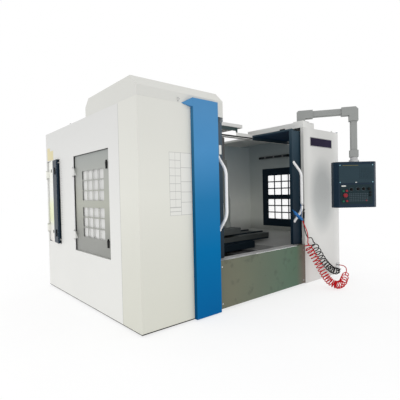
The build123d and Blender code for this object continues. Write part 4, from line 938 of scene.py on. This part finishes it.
    def lamp(self) -> None:
        """Cover, edges, clips and end caps of the work lamp."""
        self.sheet("lamp_cover", (3248, 1110, 1790), (596, 44, 3), LEFT, "lamp_white", LAMP, 6)
        edges = [plate((3245, 1110, z), (590, 3, 1.5), LEFT) for z in (1771, 1809)]
        edges += [plate((3245, y, 1790), (30, 22, 1.5), LEFT, 4) for y in (1290, 1110, 930)]
        self.add("lamp_edges", edges, "lamp_white", LAMP_EDGE)
        backward = np.array((0.0, 1.0, 0.0))
        caps = [disc_part(shop(3264, y, 1790), backward, [0.0185] * 2, [-0.02, 0.02]) for y in (812, 1408)]
        self.add("lamp_caps", caps, "dark_iron", RUBBER_AND_SHADE)


@dataclass
class DoorTrim(Trim):
    """The loose seal and the small plate that move with the left sliding door."""

    def build(self) -> None:
        """Adds the plate, and the seal as a strip whose width and wave change with the height."""
        self.sheet("door_plate", (1010, 59.8, 1655), (34, 96, 0.6), FRONT, "panel_light", LABEL, 2,
                   "left_door")
        rows, columns, wave = 40, 9, 7.0
        height = np.linspace(1560, 836, rows)[:, None]
        edge = np.interp(height, (836, 850, 900, 1130, 1400, 1560), (1196, 1194, 1176, 1188, 1160, 1142))
        back = np.interp(height, (836, 900, 1130, 1560), (1112, 1104, 1084, 1060))
        across = np.linspace(0, 1, columns)[None, :]
        x = back + (edge - back) * across
        y = 106 + wave * np.sin(across * math.pi * 2.0 + height / 90)
        front = (np.stack((x, y, height + 0 * x), axis=-1).reshape(-1, 3) - ANCHOR) / 1000.0
        rear = front + np.array((0.0, 0.0025, 0.0))
        row, column = np.meshgrid(np.arange(rows - 1), np.arange(columns - 1), indexing="ij")
        base = (row * columns + column).ravel()
        quads = np.stack((base, base + columns, base + columns + 1, base + 1), axis=1)
        faces = np.concatenate((quads, quads[:, ::-1] + len(front)))
        seal = (np.concatenate((front, rear)), faces)
        self.add("door_edge_seal", [seal], "black_plastic", SEAL, "left_door", smooth=True)


@dataclass
class OperatorStation(Trim):
    """Screen, strips, screws and key tiles of the swinging operator box.

    Attributes:
        turn: the box's turn about the vertical, in degrees.
        foot: its origin in shop millimetres, at the middle of the front plane's lower edge.
        depth: how far the front plane lies before that origin.
        plate_face: the lower plate's face, before the front plane.
        bezel_face: the bezel's face, before the front plane.
    """

    turn: float = -40.3
    foot: Triple = (2871.0, -441.0, 988.0)
    depth: float = 62.0
    plate_face: float = 2.9
    bezel_face: float = 3.9

    def directions(self) -> tuple[np.ndarray, np.ndarray]:
        """The front plane's rightward and outward directions."""
        angle = math.radians(self.turn)
        right = np.array((math.cos(angle), math.sin(angle), 0.0))
        return right, np.array((right[1], -right[0], 0.0))

    def place(self, x: float, z: float, out: float = 0.0) -> np.ndarray:
        """Turns a place on the front plane, in millimetres, into the row's metres."""
        right, facing = self.directions()
        across = right * x + facing * (self.depth + out)
        return shop(*self.foot) + (across + np.array((0.0, 0.0, z))) / 1000.0

    def tile(self, x: float, z: float, size: Triple, out: float, corner: float = 0.0) -> Part:
        """A small plate on the front plane, in millimetres."""
        right, facing = self.directions()
        return slab_part(self.place(x, z, out), right, np.array((0.0, 0.0, 1.0)), facing,
                         tuple(v / 1000.0 for v in size), corner / 1000.0)

    def turned(self, x: float, z: float, radii: list[float], heights: list[float], sides: int,
               out: float | None = None) -> Part:
        """A round piece on the front plane, seated on the lower plate unless out says otherwise."""
        seat = self.plate_face if out is None else out
        return disc_part(self.place(x, z, seat), self.directions()[1], radii, heights, sides)

    def build(self) -> None:
        """Adds every piece of the operator box."""
        body = "operator_box"
        low, high = self.plate_face, self.bezel_face
        self.add("screen", [self.tile(-64, 425, (208, 144, 1.0), 0.9, 4)], "black_plastic", SCREEN, body)
        self.add("title_strip", [self.tile(-72, 528, (196, 5, 0.6), high)], "panel_light", GOLD, body)
        corners = [self.turned(x, z, [0.007] * 2, [0.0, 0.003], 14, high)
                   for x in (-204, 204) for z in (532, 318)]
        self.add("bezel_screws", corners, "bright_steel", CYAN, body)
        markers = [self.tile(-3, 316, (22, 8, 0.8), high, 2), self.tile(-160, 272, (54, 14, 0.8), low, 2)]
        self.add("marker_plates", markers, "panel_light", LABEL, body)
        keys = [self.tile(x, z, (13, 13, 2.0), low, 2)
                for x in range(-84, 150, 22) for z in range(172, 83, -22)]
        self.add("key_tiles", keys, "black_plastic", KEY, body)
        caps = [self.turned(x, z, [r, r, r * 0.85], [0.0, h * 0.8, h], 20)
                for x, z, r, h in ((152, 231, 0.017, 0.022), (170, 187, 0.012, 0.0145),
                                   (170, 151, 0.012, 0.0145))]
        self.add("switch_caps", caps, "black_plastic", BLACK, body)
        lens = self.turned(123, 86, [0.008] * 2, [0.0, 0.003], 14)
        self.add("red_lens", [lens], "red_plastic", RED_PLASTIC, body)
        rings = [self.turned(x, z, [0.027, 0.027, 0.0245], [0.0, 0.0006, 0.0006], 30)
                 for x, z in ((-66, 229), (18, 233), (87, 233))]
        self.add("scale_rings", rings, "panel_light", KEY, body)


@dataclass
class Machine:
    """The whole dressed machine.

    Attributes:
        paint: the material maker.
    """

    frame: dict
    paint: Paintshop = field(default_factory=Paintshop)

    def dress_nodes(self) -> None:
        """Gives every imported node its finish."""
        for finish, names in NODES_BY_FINISH.items():
            for name in names.split():
                self.paint.dress(self.frame["nodes"][name], finish)

    def dress_regions(self) -> None:
        """Second finishes on parts of a node, such as the window sheet's outer face."""
        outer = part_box("right_window_pane")[1][0] * 1000 + ANCHOR[0]
        sheet = ("right_window_pane", PANE, (outer - 1, 0, 0), (outer + 1, 2500, 2200))
        for name, finish, low, high in (*REGIONS, sheet):
            self.paint.dress_region(self.frame["nodes"][name], finish, low, high)

    def fittings(self) -> None:
        """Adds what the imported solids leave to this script."""
        for part in (Enclosure(self.paint), DoorTrim(self.paint), OperatorStation(self.paint)):
            part.build()

    def hoses(self) -> None:
        """Builds the two coiled hoses."""
        red = CoiledHose("red_coiled_hose", RED_LEAD, RED_COIL, RED_TAIL, ("red_hose", "red_coil"), RED_HOSE,
                         25, RED_DENSITY)
        black = CoiledHose("black_coiled_hose", BLACK_LEAD, BLACK_COIL, BLACK_TAIL,
                           ("black_hose", "black_coil"), BLACK_HOSE, 13, BLACK_DENSITY)
        for hose in (red, black):
            hose.build(self.paint)


def main() -> None:
    """Builds the scene."""
    logging.basicConfig(level=logging.INFO)
    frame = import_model()
    studio = Studio()
    machine = Machine(frame)
    studio.camera()
    machine.hoses()
    machine.dress_nodes()
    machine.dress_regions()
    machine.fittings()
    studio.lights()
    studio.floor(machine.paint)


if __name__ == "__main__":
    main()
